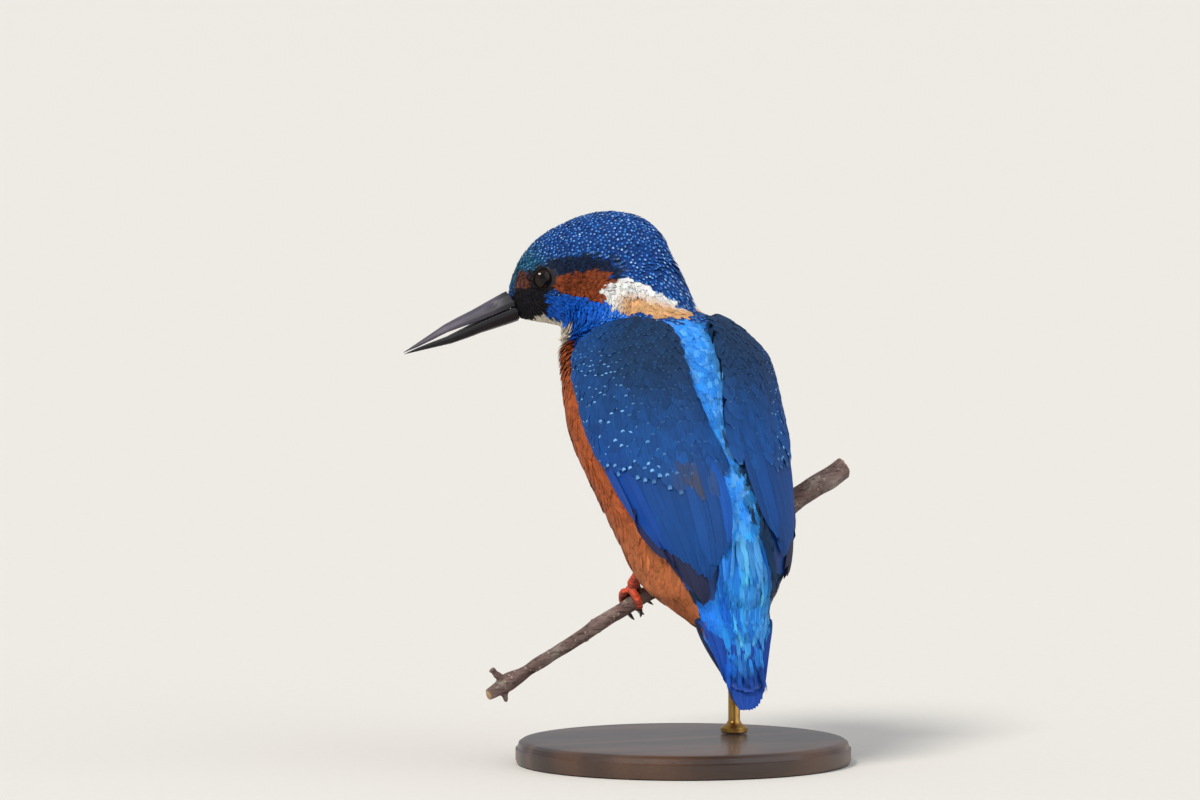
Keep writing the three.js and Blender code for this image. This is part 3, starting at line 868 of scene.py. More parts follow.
# %% [markdown]
# ## The neck's patches
# On each side of the neck is a pale patch, white above and buff below. It is given by its middle line and
# half its width, at angles round the neck. Because the head is turned, the two sides differ: the left patch
# is bunched up under the cheek, and the right one is drawn out over more of the neck.

# %% The neck's patches
NECK_MIDDLE = np.array([6.5, -17.5])
HIND_NECK = -40  # where the nape's middle meets the body, in degrees from the back
LEFT_TURNS, RIGHT_TURNS = (12, 30, 50, 75, 100), (205, 240, 280, 320, 348)
LEFT_LINE, RIGHT_LINE = (112.8, 114.6, 116.2, 117, 116.6), (119, 117.5, 115.5, 113.5, 112.8)
LEFT_SPAN, RIGHT_SPAN = (10, 22, 45, 70, 90, 108), (198, 220, 250, 290, 342, 358)
LEFT_HALF, RIGHT_HALF = (0, 2.4, 3.9, 4.1, 2.8, 0), (0, 3.2, 4.0, 3.4, 2.0, 0)


def round_neck(points):
    """The angle round the neck from the nape's middle, 0 to 360 degrees by the left side, and the height."""
    turn = np.degrees(np.arctan2(points[:, 0] - NECK_MIDDLE[0], points[:, 1] - NECK_MIDDLE[1]))
    return (turn - HIND_NECK) % 360, points[:, 2]


def patch_line(turn):
    """The height of the neck patches' middle line, and half their width."""
    middle = np.interp(turn, [*LEFT_TURNS, *RIGHT_TURNS], [*LEFT_LINE, *RIGHT_LINE])
    half = np.interp(turn, [*LEFT_SPAN, *RIGHT_SPAN], [*LEFT_HALF, *RIGHT_HALF])
    return middle, half


def neck_patches(points):
    """The share of the pale patches on the neck's sides, and how buff they are."""
    turn, z = round_neck(points)
    middle, half = patch_line(turn)
    inside = step(-0.2, 0.2, half - abs(z - middle)) * (half > 0.3)
    low_part = step(1.8, -1.2, z - middle)
    front = np.where(turn < 160, step(84, 66, turn), step(225, 250, turn))
    return inside, front * low_part


print("the patches are up to", 2 * max(LEFT_HALF), "and", 2 * max(RIGHT_HALF), "millimetres high")

# %% [markdown]
# ## Back, breast and belly
# Below the neck, the bird is orange in front and blue behind. Down the back runs the brilliant azure stripe,
# which widens over the rump. As painted shading where the stripe turns from the light, it is drawn bluer
# along its left edge and greener along its right. Pale feathers show round the legs, and the throat's cream
# and the cheeks' blue reach down onto the neck.

# %% Back, breast and belly
STRIPE_LEVELS = [20, 34, 40, 46, 52, 57, 65, 76, 81, 86, 97, 107, 112]
STRIPE_HALF = [9, 9, 9.5, 9, 8, 6.5, 5, 3, 3.4, 4.4, 6, 6, 4.4]  # half the stripe's width at each height
BLUE_LEVELS = [30, 36, 42, 50, 60, 80, 104, 112]
BLUE_LIMIT = [70, 62, 50, 48, 60, 78, 88, 82]  # how far round from the back the blue reaches, in degrees


def from_legs(points):
    """The distance to the middle of the nearer leg."""
    return np.minimum(*(np.linalg.norm(points - middle_of(leg), axis=1) for leg in LEGS))


def body_colours(points):
    """Plumage of trunk, neck and rump."""
    angle = abs(round_body(points))
    z = points[:, 2]
    aside = abs(points[:, 0] - mid_x)
    colour = over(plain_coat(BREAST_ORANGE, len(points)), BELLY_ORANGE, step(70, 48, z))
    colour = over(colour, LEG_PALE, step(13, 6, from_legs(points)) * 0.7)
    limit = np.interp(z, BLUE_LEVELS, BLUE_LIMIT)
    blue = step(limit + 1, limit - 1, angle) * (1 - under_tail(points))
    colour = edged(colour, MANTLE_TEAL, blue)
    turn, height = round_neck(points)
    above = step(-0.3, 0.3, z - patch_line(turn)[0]) * np.maximum(step(96, 90, turn), step(214, 220, turn))
    nape = np.maximum(step(108.6, 109.4, z) * np.maximum(step(74, 68, turn), step(262, 268, turn)), above)
    colour = edged(colour, CROWN_BLUE, nape)
    blue = np.maximum(blue, nape)
    half = np.interp(z, STRIPE_LEVELS, STRIPE_HALF)
    stripe = step(half + 0.5, half - 0.5, aside) * step(80, 75, angle)
    stripe = stripe * step(113, 111, z) * (1 - nape * step(110, 111.5, z))
    azure = over(plain_coat(BACK_AZURE, len(points)), RUMP_AZURE, step(66, 54, z))
    # Painted shading: the stripe's left edge is drawn bluer and its right edge greener, where it turns from
    # the light.
    left_edge_shading = step(0.2, 0.9, (points[:, 0] - mid_x) / half)
    right_edge_shading = step(0.4, 1.0, (mid_x - points[:, 0]) / half)
    azure = over(over(azure, MALAR_BLUE, left_edge_shading * 0.8), TEAL_SHADING, right_edge_shading * 0.8)
    azure = over(azure, TAIL_BLUE, step(36, 26, z))
    stripe = stripe * (1 - under_tail(points))
    colour = edged(colour, azure, stripe)
    throat_low = np.interp(turn, [107, 122, 140, 200], [105.5, 104.5, 101, 100.5])
    throat = step(116, 119, turn) * step(211, 209, turn) * step(-0.3, 0.3, height - throat_low)
    colour = edged(colour, THROAT_CREAM, throat)
    low_edge = np.interp(turn, [66, 108, 118, 210, 232, 268], [101, 104.2, 105.4, 104.5, 102.5, 106.5])
    sides = np.maximum(step(66, 72, turn) * step(119, 116, turn), step(208, 212, turn) * step(268, 262, turn))
    sides = sides * step(-0.3, 0.3, height - low_edge) * (1 - above)
    return edged(colour, MALAR_BLUE, sides), stripe, blue


print("the azure stripe is", 2 * min(STRIPE_HALF), "to", 2 * max(STRIPE_HALF), "millimetres wide")

# %% [markdown]
# ## One plumage for the whole bird
# Head and body meet along a soft ball round the head. Over both go the pale streaks of the stripe and the
# neck's patches. The crown, the dark band and the nape have a bright spot at each feather's tip, so the same
# function also says how strong that spot is.

# %% One plumage for the whole bird


def plumage(points):
    """The coat's colour at these places, and the colour and strength of a feather's tip spot there."""
    head, plain = head_colours(points)
    trunk, stripe, blue = body_colours(points)
    f, left, u = in_head(points).T
    gap = np.linalg.norm(np.stack([f + 2, left, u * 1.05], 1), axis=1)
    on_head = np.maximum(step(18.6, 16.4, gap - step(0, 12, f) * 6), step(0, 3, u) * step(4, -2, f))
    turn, z = round_neck(points)
    on_head = on_head * (1 - step(105.5, 104.5, z) * step(106, 109, turn) * step(136, 130, turn))
    streak = random.random(len(points)) ** 2.5 * 0.8 * step(27, 36, points[:, 2])
    streak = streak * (1 - step(1, 5, points[:, 0] - mid_x) * step(58, 50, points[:, 2]))
    trunk = over(trunk, BACK_PALE, stripe * streak)
    colour = edged(trunk, head, on_head)
    white, buff = neck_patches(points)
    white = white * step(0.6, -0.6, f)
    patch = over(plain_coat(NECK_WHITE, len(points)), NECK_BUFF, buff)
    colour = edged(colour, patch, white)
    dark = step(0.22, 0.1, colour[:, 0]) * (1 - white)
    nape = (1 - on_head) * blue * step(108, 113, points[:, 2])
    crown = np.maximum(on_head * (1 - plain), nape) * dark
    return colour, np.hstack([plain_coat(CROWN_SPOT, len(points)), np.clip(crown, 0, 1)[:, None]])


print("markings ready")

# %% [markdown]
# ## Finishes
# A material is a set of nodes, and its maths is easier to read as a formula. The small class below wraps a
# socket, so that plus, minus and times between such values add Math nodes. Feathers are neither matt nor
# glossy: fine barbs leave the shaft at a slant and catch the light in streaks, so every vane gets barbs in
# its bump and its colour, a darker downy root, and the spot at its tip where the bird has one.

# %% Node helpers


class Value:
    """A socket whose number can be used in a formula."""

    def __init__(self, finish, socket):
        self.finish = finish
        self.socket = socket

    def math(self, operation, *inputs, clamp=False):
        """A Math node with these inputs."""
        values = dict(enumerate(inputs))
        return self.finish.node("Math", {"operation": operation, "use_clamp": clamp}, values)

    def __add__(self, other):
        return self.math("ADD", self, other)

    def __sub__(self, other):
        return self.math("SUBTRACT", self, other)

    def __mul__(self, other):
        return self.math("MULTIPLY", self, other)

    def __truediv__(self, other):
        return self.math("DIVIDE", self, other)

    def __rsub__(self, other):
        return self.math("SUBTRACT", other, self)

    def __rtruediv__(self, other):
        return self.math("DIVIDE", other, self)

    def __pow__(self, other):
        return self.math("POWER", self, other)

    def __abs__(self):
        return self.math("ABSOLUTE", self)

    __radd__ = __add__
    __rmul__ = __mul__

    def sine(self):
        """The sine of the value."""
        return self.math("SINE", self)

    def clamp(self):
        """The value, held between 0 and 1."""
        return self.math("ADD", self, 0.0, clamp=True)

    def rise(self, low, high):
        """0 at low, 1 at high, smooth between."""
        settings = {"interpolation_type": "SMOOTHSTEP"}
        return self.finish.node("MapRange", settings, {0: self, 1: low, 2: high})


class Finish:
    """A material, built round one Principled shader."""

    def __init__(self, name, **sockets):
        self.material = bpy.data.materials.new(name)
        self.material.use_nodes = True
        self.tree = self.material.node_tree
        self.shader = self.tree.nodes["Principled BSDF"]
        for socket, value in sockets.items():
            self.put(self.shader.inputs[socket.replace("_", " ").title().replace("Ior", "IOR")], value)

    def put(self, socket, value):
        """Sets a socket to a number or colour, or links a value to it."""
        if isinstance(value, Value):
            self.tree.links.new(value.socket, socket)
        elif isinstance(value, np.ndarray):
            socket.default_value = (*value.tolist(), 1) if socket.type == "RGBA" else value.tolist()
        else:
            socket.default_value = value

    def node(self, kind, settings=None, inputs=None, output=0):
        """Adds a node: its settings, then its inputs, then the output to go on with."""
        made = self.tree.nodes.new("ShaderNode" + kind)
        for name, value in (settings or {}).items():
            setattr(made, name, value)
        for name, value in (inputs or {}).items():
            self.put(made.inputs[name], value)
        return Value(self, made.outputs[output])

    def where(self, scale=(1, 1, 1), turn=(0, 0, 0)):
        """Object coordinates in millimetres, turned and stretched if asked."""
        place = self.node("TexCoord", output="Object")
        size = tuple(s / MM for s in scale)
        return self.node("Mapping", inputs={"Vector": place, "Rotation": turn, "Scale": size})

    def noise(self, size, detail=3.0, at=None):
        """A cloudy pattern whose lumps are about this many millimetres across."""
        at = at or self.where()
        return self.node("TexNoise", inputs={"Vector": at, "Scale": 1 / size, "Detail": detail})

    def attribute(self, name, output="Color"):
        """A colour, or the alpha, that was given to the piece's corners."""
        return self.node("Attribute", {"attribute_name": name}, output=output)

    def channel(self, colour, number):
        """One of the three numbers of a colour or vector."""
        return self.node("SeparateXYZ", inputs={0: colour}, output=number)

    def mix(self, a, b, share):
        """Blends colour b over colour a by a share."""
        settings = {"data_type": "RGBA", "blend_type": "MIX", "clamp_factor": True}
        return self.node("Mix", settings, {0: share, 6: a, 7: b}, output=2)

    def times(self, colour, number):
        """Makes a colour lighter or darker."""
        return self.node("VectorMath", {"operation": "SCALE"}, {0: colour, "Scale": number})

    def bump(self, height, depth):
        """A bump of this depth in millimetres."""
        return self.node("Bump", inputs={"Height": height, "Distance": depth * MM})

    def done(self, *pieces, colour=None, roughness=None, normal=None):
        """Links what varies, and gives the material to the pieces."""
        for socket, value in {"Base Color": colour, "Roughness": roughness, "Normal": normal}.items():
            if value is not None:
                self.put(self.shader.inputs[socket], value)
        for piece in pieces:
            piece.data.materials.clear()
            piece.data.materials.append(self.material)


print("node helpers ready")

# %% [markdown]
# ## The finish of a feather
# Every feather carries a small map of its own vane, so one material can draw barbs, shaft, downy root and tip
# spot on thousands of them, each in its own place. The barbs are a wave that leans away from the shaft, and
# a cloudy pattern breaks it up. Colour and spot come from what was given to the feather's corners. Hardly
# any gloss is set: the streaks of light come from the barbs' bump.

# %% The feather finish
FEATHER_GLOSS = 0.18
BARB_DEPTH = 0.05


def feather_finish(name, *pieces, barbs, gloss=0.5, contrast=0.5, spot_at=0.8, spot_size=(0.36, 0.17)):
    """Vanes with barbs, a downy root, a shaft and a tip spot. Gloss is the roughness between the barbs."""
    finish = Finish(name, specular_ior_level=FEATHER_GLOSS)
    vane = finish.node("UVMap", {"uv_map": "Vane"})
    along = finish.channel(vane, 1)
    aside = abs(finish.channel(vane, 0) - 0.5) * 2
    wander = finish.noise(1.6, detail=2.0) * 5
    wave = ((along * 1.2 - aside * 0.55) * barbs + wander).sine() * 0.5 + 0.5
    fine = finish.noise(0.35, detail=2.0)
    cloud = finish.noise(5.0, detail=2.0)
    tint = finish.attribute("tint")
    mark = finish.attribute("mark")
    strength = finish.attribute("mark", "Alpha")
    lightness = (1 - contrast * 0.42) + contrast * (wave * 0.42 + fine * 0.4) - 0.2 * contrast
    lightness = lightness * (0.74 + 0.26 * along.rise(0.0, 0.5)) * (0.86 + cloud * 0.28)
    colour = finish.times(tint, lightness)
    from_spot = (aside / spot_size[0]) ** 2 + ((along - spot_at) / spot_size[1]) ** 2
    spot = strength * from_spot.rise(1.0, 0.4)
    colour = finish.mix(colour, finish.times(mark, 0.85 + wave * 0.3), spot)
    shaft = aside.rise(0.12, 0.03) * (1 - spot) * 0.4
    colour = finish.mix(colour, finish.times(tint, 0.45), shaft)
    normal = finish.bump(wave * 0.7 + fine * 0.3, BARB_DEPTH)
    finish.done(*pieces, colour=colour, roughness=gloss + 0.22 * fine, normal=normal)
    print(f"{name}: {len(finish.tree.nodes)} nodes on {len(pieces)} pieces")


print("feather finish ready")

# %% [markdown]
# ## The contour coat
# Most feathers are small and alike, and differ in size more than in shape: half a millimetre apart at the
# bill, and a whole one on the belly. Their roots are scattered so that no two are nearer than the spacing at
# their place, which looks grown rather than drawn. None starts in an eye's opening or at the bill's root.

# %% Spacing and eye openings
EYE_CLEAR = 2.9  # no feather starts nearer to the middle of an eye's opening
GAP_REACH, GAPS = [2, 7, 14, 26, 45, 70], [0.42, 0.5, 0.66, 0.8, 0.92, 1.05]  # gaps by distance from the bill


def spacing(points):
    """The distance between feathers."""
    from_bill = np.linalg.norm(points - from_head(17, 0, 0), axis=1)
    return np.interp(from_bill, GAP_REACH, GAPS)


def off_eye(points, clear=EYE_CLEAR):
    """True for places outside both eyes' openings."""
    f, left, u = in_head(points).T
    return (np.hypot(f - EYE_FORWARD, u - EYE_UP) > clear) | (abs(left) < 3)


print("contour feathers stand", GAPS[0], "to", GAPS[-1], "millimetres apart")

# %% [markdown]
# ## The folded wings as places
# A folded wing hides what is under it, so no contour feather is needed there. It also needs a map of its own
# for its rows. Each wing is measured from its solid: t runs from its top to its tip, k from its back edge to
# its front edge, and both edges are found at 36 heights. A ray from outside then finds any place given so.

# %% The wings as places
WING_VOXEL, WING_HEIGHTS = 0.6, 36


class Wing:
    """The outer side of a folded wing, with places from its top (t 0) to its tip (t 1), and from its back
    edge (k 0) to its front edge (k 1)."""

    def __init__(self, side):
        self.sign = 1 if side == "left" else -1
        guide = copy_of("guide", "wing_" + side)
        modifier(guide, "REMESH", mode="VOXEL", voxel_size=WING_VOXEL * MM)
        modifier(guide, "SMOOTH", factor=0.5, iterations=8)
        self.surface = Surface(guide)
        bpy.data.objects.remove(guide)
        points = self.surface.points
        self.top, self.tip = points[:, 2].max(), points[:, 2].min()
        self.t = np.linspace(0, 1, WING_HEIGHTS)
        angle = self.sign * round_body(points)
        height = (self.top - points[:, 2]) / (self.top - self.tip)
        rows = [angle[abs(height - t) < 0.03] for t in self.t]
        self.back = np.array([row.min() for row in rows])
        self.front = np.array([row.max() for row in rows])

    def share(self, points):
        """The t and k of places."""
        t = (self.top - points[:, 2]) / (self.top - self.tip)
        back, front = np.interp(t, self.t, self.back), np.interp(t, self.t, self.front)
        return t, (self.sign * round_body(points) - back) / np.maximum(front - back, 4)

    def at(self, t, k):
        """The places on the wing's outer side at t and k, and the normals there."""
        z = self.top - t * (self.top - self.tip)
        angle = np.radians(np.interp(t, self.t, self.back) * (1 - k) + np.interp(t, self.t, self.front) * k)
        out = np.stack([self.sign * np.sin(angle), np.cos(angle), np.zeros_like(angle)], -1)
        middle = np.stack([np.full_like(z, mid_x), body_middle(z), z], -1)
        hits = [self.surface.tree.ray_cast(Vector(m + o * 60), Vector(-o))[0] for m, o in zip(middle, out)]
        aim = np.array([m + o * 18 if hit is None else hit for m, o, hit in zip(middle, out, hits)])
        return self.surface.nearest(aim)


wings = {"left": Wing("left"), "right": Wing("right")}


def under_wing(points, margin=0.1):
    """True for places that a folded wing hides."""
    hidden = np.zeros(len(points), bool)
    for wing in wings.values():
        t, k = wing.share(points)
        side = wing.sign * (points[:, 0] - mid_x) > 0
        hidden |= side & (t > 0.08) & (t < 0.97) & (k > margin) & (k < 1 - margin * 0.7)
    return hidden


for side, wing in wings.items():
    print(f"{side} wing: {wing.top - wing.tip:.0f} millimetres from top to tip")

# %% [markdown]
# ## The roots
# Roots are chosen once for the whole coat, and the bare places are taken out of them afterwards.

# %% The roots of the contour feathers
CANDIDATES = 160000  # places to choose from
TAIL_BARE_ABOVE, TAIL_BARE_BELOW = 7, 14  # how much of the tail's root has contour feathers
BILL_FORWARD, BILL_HALF = 18.6, 4.4  # the bare place round the bill's root

roots = spaced(skin_surface.scattered(CANDIDATES), spacing)
roots = roots[off_eye(roots) & ~under_wing(roots)]
above = abs(round_body(roots)) < 90
roots = roots[roots[:, 2] >= TAIL_TOP - np.where(above, TAIL_BARE_ABOVE, TAIL_BARE_BELOW)]
f, left, u = in_head(roots).T
roots = roots[(f < BILL_FORWARD) | (np.hypot(left, u + 1) > BILL_HALF)]
print("contour feathers:", len(roots))

# %% [markdown]
# ## Single feathers differ
# No two feathers have quite the same colour, and patches of a few together are lighter or darker. Loose ones
# stand off the body: on the breast and thighs they are fluffed out, at the throat they drape into the notch
# under the bill, and at the hind crown they fill the hollow above the nape.

# %% Colour and fluff
TUNE = 0.12  # how much single feathers differ in lightness
BREAST_TOP = np.array([25, -13, 103])
THROAT = np.array([20.5, -20.5, 106.5])
HIND_CROWN = np.array([-3.5, -17.5, 124])


def coloured(points, tune=TUNE):
    """Tint and mark of feathers whose visible part is at these places."""
    colour, mark = plumage(points + random.normal(0, 0.15, points.shape))
    colour = colour * np.exp(0.22 * lumps(points, 2.6, 5))[:, None]
    lightness, hue = random.normal(0, tune, (len(points), 1)), random.normal(0, tune / 6, (len(points), 3))
    colour = colour * np.exp(lightness + hue)
    mark[:, 3] *= random.random(len(points)) ** 0.5
    mark[:, :3] += (SPOT_WHITE - mark[:, :3]) * (random.random((len(points), 1)) ** 3 * 0.8)
    return np.clip(colour, 0, 1), mark


def near(points, place, size):
    """1 at a place, falling off smoothly over the size."""
    return np.exp(-((np.linalg.norm(points - place, axis=1) / size) ** 2))


def fluff(points):
    """How much more the tips stand off, in millimetres."""
    z = points[:, 2]
    throat = 1.8 * near(points, BREAST_TOP, 9) + 2.2 * near(points, THROAT, 5.5)
    nape = 1.5 * near(points, HIND_CROWN, 7)
    breast = 0.7 * step(110, 150, abs(round_body(points))) * step(55, 70, z) * step(112, 104, z)
    clumps = 0.3 * lumps(points, 4.5, 31) * step(100, 92, z)
    return throat + nape + breast + 0.8 * step(12, 7, from_legs(points)) + clumps


extra = fluff(np.array([BREAST_TOP, THROAT, HIND_CROWN]))
print("tips stand off by this much more at breast, throat and hind crown:", extra.round(1))

# %% [markdown]
# ## Contour feathers
# A feather is three to five times as long as the gap to its neighbours, so each place is covered by several.
# Its size follows that gap, and it is left out where it would lie over an eye.

# %% Laying contour feathers
EYE_EDGE = 2.5  # no part of a feather comes nearer to the middle of an eye's opening


def contour(name, roots, shape, long, wide, lift, roll=7):
    """Lays contour feathers whose size follows their spacing."""
    gap = spacing(roots)
    starts, normals = skin_surface.nearest(roots)
    from_bill = np.linalg.norm(roots - bill_root, axis=1)
    shorter = np.maximum(0.3 * step(94, 102, roots[:, 2]), 0.4 * step(12, 6, from_bill))
    draped = near(roots, THROAT, 6)
    longer = 0.9 * draped + 0.25 * near(roots, HIND_CROWN, 8)
    lengths = gap * long * (1 - shorter + longer) * random.uniform(0.85, 1.2, len(roots))
    path, ups = middle_lines(starts, normals, lengths, skin_surface)
    keep = off_eye(path[:, -1], EYE_EDGE) & off_eye(path[:, 1], EYE_EDGE)
    path, ups, gap = path[keep], ups[keep], gap[keep]
    tint, mark = coloured(path[:, 2])
    tips = coat_depth(path[:, -1]) * lift + fluff(path[:, -1])
    low = 0.05 + (0.35 * fluff(roots) + 0.5 * near(roots, HIND_CROWN, 7))[keep].clip(0)
    widths = gap * wide * (1 + 0.5 * draped[keep])
    return feathers(name, shape, path, ups, widths, tint, mark, lift=(low, tips), roll=roll)


print("contour feathers keep", EYE_EDGE, "millimetres clear of an eye's middle")

# %% [markdown]
# ## The tracts of the coat
# The coat is laid in six tracts, which keeps every piece light enough to handle: stiff scales on the crown,
# fine hairs on the face, and loose plumes on back, rump, breast and belly.

# %% The tracts
HEAD_REACH = 21  # how far the head's tracts reach from its middle
BACK_HALF = 95  # how far round the back's tracts reach, in degrees
WAIST = 78  # the height at which back and breast give way to rump and belly

head_gap = np.linalg.norm(roots - head_middle, axis=1)
spotted = plumage(roots)[1][:, 3]
stiff = (head_gap < HEAD_REACH) & (spotted > 0.4)
coat_crown = contour("coat_crown", roots[stiff], scale, long=3.2, wide=2.1, lift=0.6)
soft = (head_gap < HEAD_REACH) & ~stiff
coat_face = contour("coat_face", roots[soft], hair, long=4.2, wide=2.0, lift=0.7)
rest = roots[head_gap >= HEAD_REACH]
behind = abs(round_body(rest)) < BACK_HALF
high = rest[:, 2] > WAIST
loose = {"long": 4.6, "wide": 2.7, "lift": 0.42, "roll": 4}
coat_mantle = contour("coat_mantle", rest[behind & high], plume, **loose)
coat_rump = contour("coat_rump", rest[behind & ~high], plume, **loose)
coat_breast = contour("coat_breast", rest[~behind & high], plume, **loose)
coat_belly = contour("coat_belly", rest[~behind & ~high], plume, **loose)
contour_coat = [coat_crown, coat_face, coat_mantle, coat_rump, coat_breast, coat_belly]
feather_finish("contour_feathers", *contour_coat, barbs=46.0)
for piece in contour_coat:
    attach(piece, "root")

# %% [markdown]
# ## Legs and the finished skin
# A kingfisher's legs are short, with three long toes in front, the outer two joined for much of their
# length. They are bare and waxy red, with rings of small scales. The solids of both legs are remeshed much
# finer than the body, the rings are pressed in, and the legs join the body as one skin.

# %% Legs
LEG_VOXEL = 0.22
RING_GAP, RING_DEPTH = 0.85, 0.05  # the rings of scales

legs = copy_of("legs", *LEGS)
modifier(legs, "REMESH", mode="VOXEL", voxel_size=LEG_VOXEL * MM)
modifier(legs, "SMOOTH", factor=0.5, iterations=4)
points, normals = places(legs), normals_of(legs)
rings = np.sin((points[:, 2] * 0.8 + points[:, 1] * 0.6 + points[:, 0] * 0.5) * 2 * np.pi / RING_GAP)
move_to(legs, points + normals * (RING_DEPTH * np.sign(rings) * abs(rings) ** 0.4)[:, None])
print("legs:", len(points), "corners")

# %% [markdown]
# ## The colours of the skin
# Where the coat is thin, the skin shows between the feathers, so it takes the plumage's own colours and no
# bare patch ever flashes through. Under the wings it is blue, for the same reason. The legs are red, with
# painted shade under them and some stains. Both are joined into one piece, standing for all the soft solids.

# %% The skin
WING_EDGE = 0.04  # the skin is blue from this share of a wing's width inwards
PORE_GAP, PORE_DEPTH = 0.9, 0.04


def colour_points(piece, name, rgb):
    """Gives each corner of a piece a colour, with which its material starts."""
    layer = piece.data.color_attributes.new(name, "FLOAT_COLOR", "POINT")
    rgba = np.hstack([rgb, np.ones((len(rgb), 1))])
    layer.data.foreach_set("color", rgba.astype(np.float32).ravel())


points = places(body)
tints = plumage(points)[0]
tints[under_wing(points, WING_EDGE)] = WING_DEEP
colour_points(body, "tint", tints)
points = places(legs)
# Painted shade: the downward-facing undersides of the toes are drawn dark red, with banded stains mixed in.
stains = 0.5 + 0.5 * np.sin(points @ np.array([1.1, 1.7, 2.3]))
shade_and_stains = step(0.3, -0.5, normals_of(legs)[:, 2]) * 0.6 + 0.3 * stains
colour_points(legs, "tint", over(plain_coat(FOOT_RED, len(points)), FOOT_DARK, shade_and_stains))
take(body)
legs.select_set(True)
bpy.ops.object.join()
skin = bpy.context.object
skin.name = "skin"
shade(skin, 80)
finish = Finish("skin", subsurface_weight=0.0, specular_ior_level=0.4)
pores = finish.node("TexVoronoi", inputs={"Vector": finish.where(), "Scale": 1 / PORE_GAP})
fine = finish.noise(0.4)
colour = finish.times(finish.attribute("tint"), 0.75 + fine * 0.4)
normal = finish.bump(pores + fine * 0.5, PORE_DEPTH)
finish.done(skin, colour=colour, roughness=0.42 + fine * 0.2, normal=normal)
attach(skin, "root")
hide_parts("head", "neck", "trunk", "wing_left", "wing_right", "tail", "leg_left", "leg_right")
print("skin:", len(skin.data.polygons), "faces")

# %% [markdown]
# ## The wings
# A folded wing is a stack of fans. At the bottom lie the primaries, whose dusky tips show; over them the
# secondaries, then the greater, median and lesser coverts, each row shorter than the one below. Their blue
# is teal by the shoulder and purer lower down. Coverts carry pale spots, most towards the front edge, and
# the tips of a few on the left wing are worn brown.

# %% The wings' colours
WORN_T, WORN_K = 0.53, 0.28  # the middle of the worn patch
WORN_LONG, WORN_WIDE = 0.07, 0.13


def wing_colours(points, t, k):
    """The colour at these places, the strength of the tip spots, and how worn the tips are."""
    colour = plain_coat(WING_BLUE, len(points))
    colour = over(colour, MANTLE_TEAL, step(0.44, 0.12, t) * step(1.0, 0.4, k) * 0.9)
    colour = over(colour, WING_DEEP, step(0.5, 0.62, t) * 0.4)
    colour = over(colour, WING_BRIGHT, step(0.55, 0.95, k) * step(0.3, 0.7, t) * 0.6)
    on_left = points[:, 0] > mid_x
    colour = over(colour, MALAR_BLUE, step(0.5, 0.6, t) * step(0.14, 0.08, k) * 0.7 * on_left)
    worn = np.exp(-(((t - WORN_T) / WORN_LONG) ** 2) - ((k - WORN_K) / WORN_WIDE) ** 2)
    worn = worn * step(0.485, 0.505, t) * on_left
    worn = worn * random.uniform(0.6, 0.9, len(t))
    spots = step(0.36, 0.56, k + 0.35 * (t - 0.4)) * step(0.62, 0.54, t) * step(0.08, 0.16, t)
    return colour, 0.15 * step(0.6, 0.5, t) + 0.85 * spots, worn


print("the worn patch is at t", WORN_T, "and k", WORN_K)

# %% [markdown]
# ## Rows of wing feathers
# Each row is set out on the measured wing, from the front edge to the back edge. Only its first and its last
# feather are given, by the places of root and tip, and the others lie evenly between them. The inner feather
# of two always lies a little over the outer one, as on a living bird.

# %% A row of a wing
ROW_TUNE = 0.08  # how much the feathers of a row differ in lightness
ROOT_RAGGED = 0.004  # how unevenly their roots stand, as a share of the wing


def along_wing(wing, start, end):
    """Straight middle lines on a wing, from a start to an end in t and k."""
    share = np.linspace(0, 1, WALK)
    t = start[0][:, None] + (end[0] - start[0])[:, None] * share
    k = start[1][:, None] + (end[1] - start[1])[:, None] * share
    path, ups = wing.at(t.ravel(), k.ravel())
    return path.reshape(-1, WALK, 3), ups.reshape(-1, WALK, 3)


def wing_row(name, wing, count, start, end, width, lift, spots, dusk=0.0, ragged=0.006):
    """One row of a wing. Start and end give t and k of the first, outermost feather and of the last one."""
    order = np.linspace(0, 1, count)
    first = [start[0][n] + (start[1][n] - start[0][n]) * order for n in (0, 1)]
    last = [end[0][n] + (end[1][n] - end[0][n]) * order for n in (0, 1)]
    first = [value + random.normal(0, ROOT_RAGGED, count) for value in first]
    last = [value + random.normal(0, ragged, count) for value in last]
    path, ups = along_wing(wing, first, last)
    t, k = wing.share(path[:, 2])
    colour, spotted, worn = wing_colours(path[:, 2], t, k)
    colour = over(colour, DUSKY, np.full(count, dusk))
    colour = colour * np.exp(random.normal(0, ROW_TUNE, (count, 1)))
    tip = over(colour, WORN_BROWN, worn)
    spotted = spotted * spots * random.random(count) ** 0.5
    mark = np.hstack([plain_coat(WING_SPOT, count), spotted[:, None]])
    stack = order * 0.5
    widths = width * random.uniform(0.94, 1.06, count)
    flat = np.stack([k, t], 1)
    lifts = (lift[0] + stack, lift[1] + stack)
    return feathers(name, quill, path, ups, widths, colour, mark, lift=lifts, roll=3, flat=flat, tip=tip)


print("the feathers of a row differ in lightness by", ROW_TUNE)

# %% [markdown]
# ## Flight feathers and coverts
# The long rows come first, from the bottom up: nine primaries, thirteen secondaries, five tertials and
# sixteen greater coverts to a wing. The many small coverts above them aren't counted by rows. They are
# scattered in the next cell and walked down the wing like contour feathers.

# %% Flight feathers and greater coverts
PRIMARIES, SECONDARIES, TERTIALS, GREATER = 9, 13, 5, 16


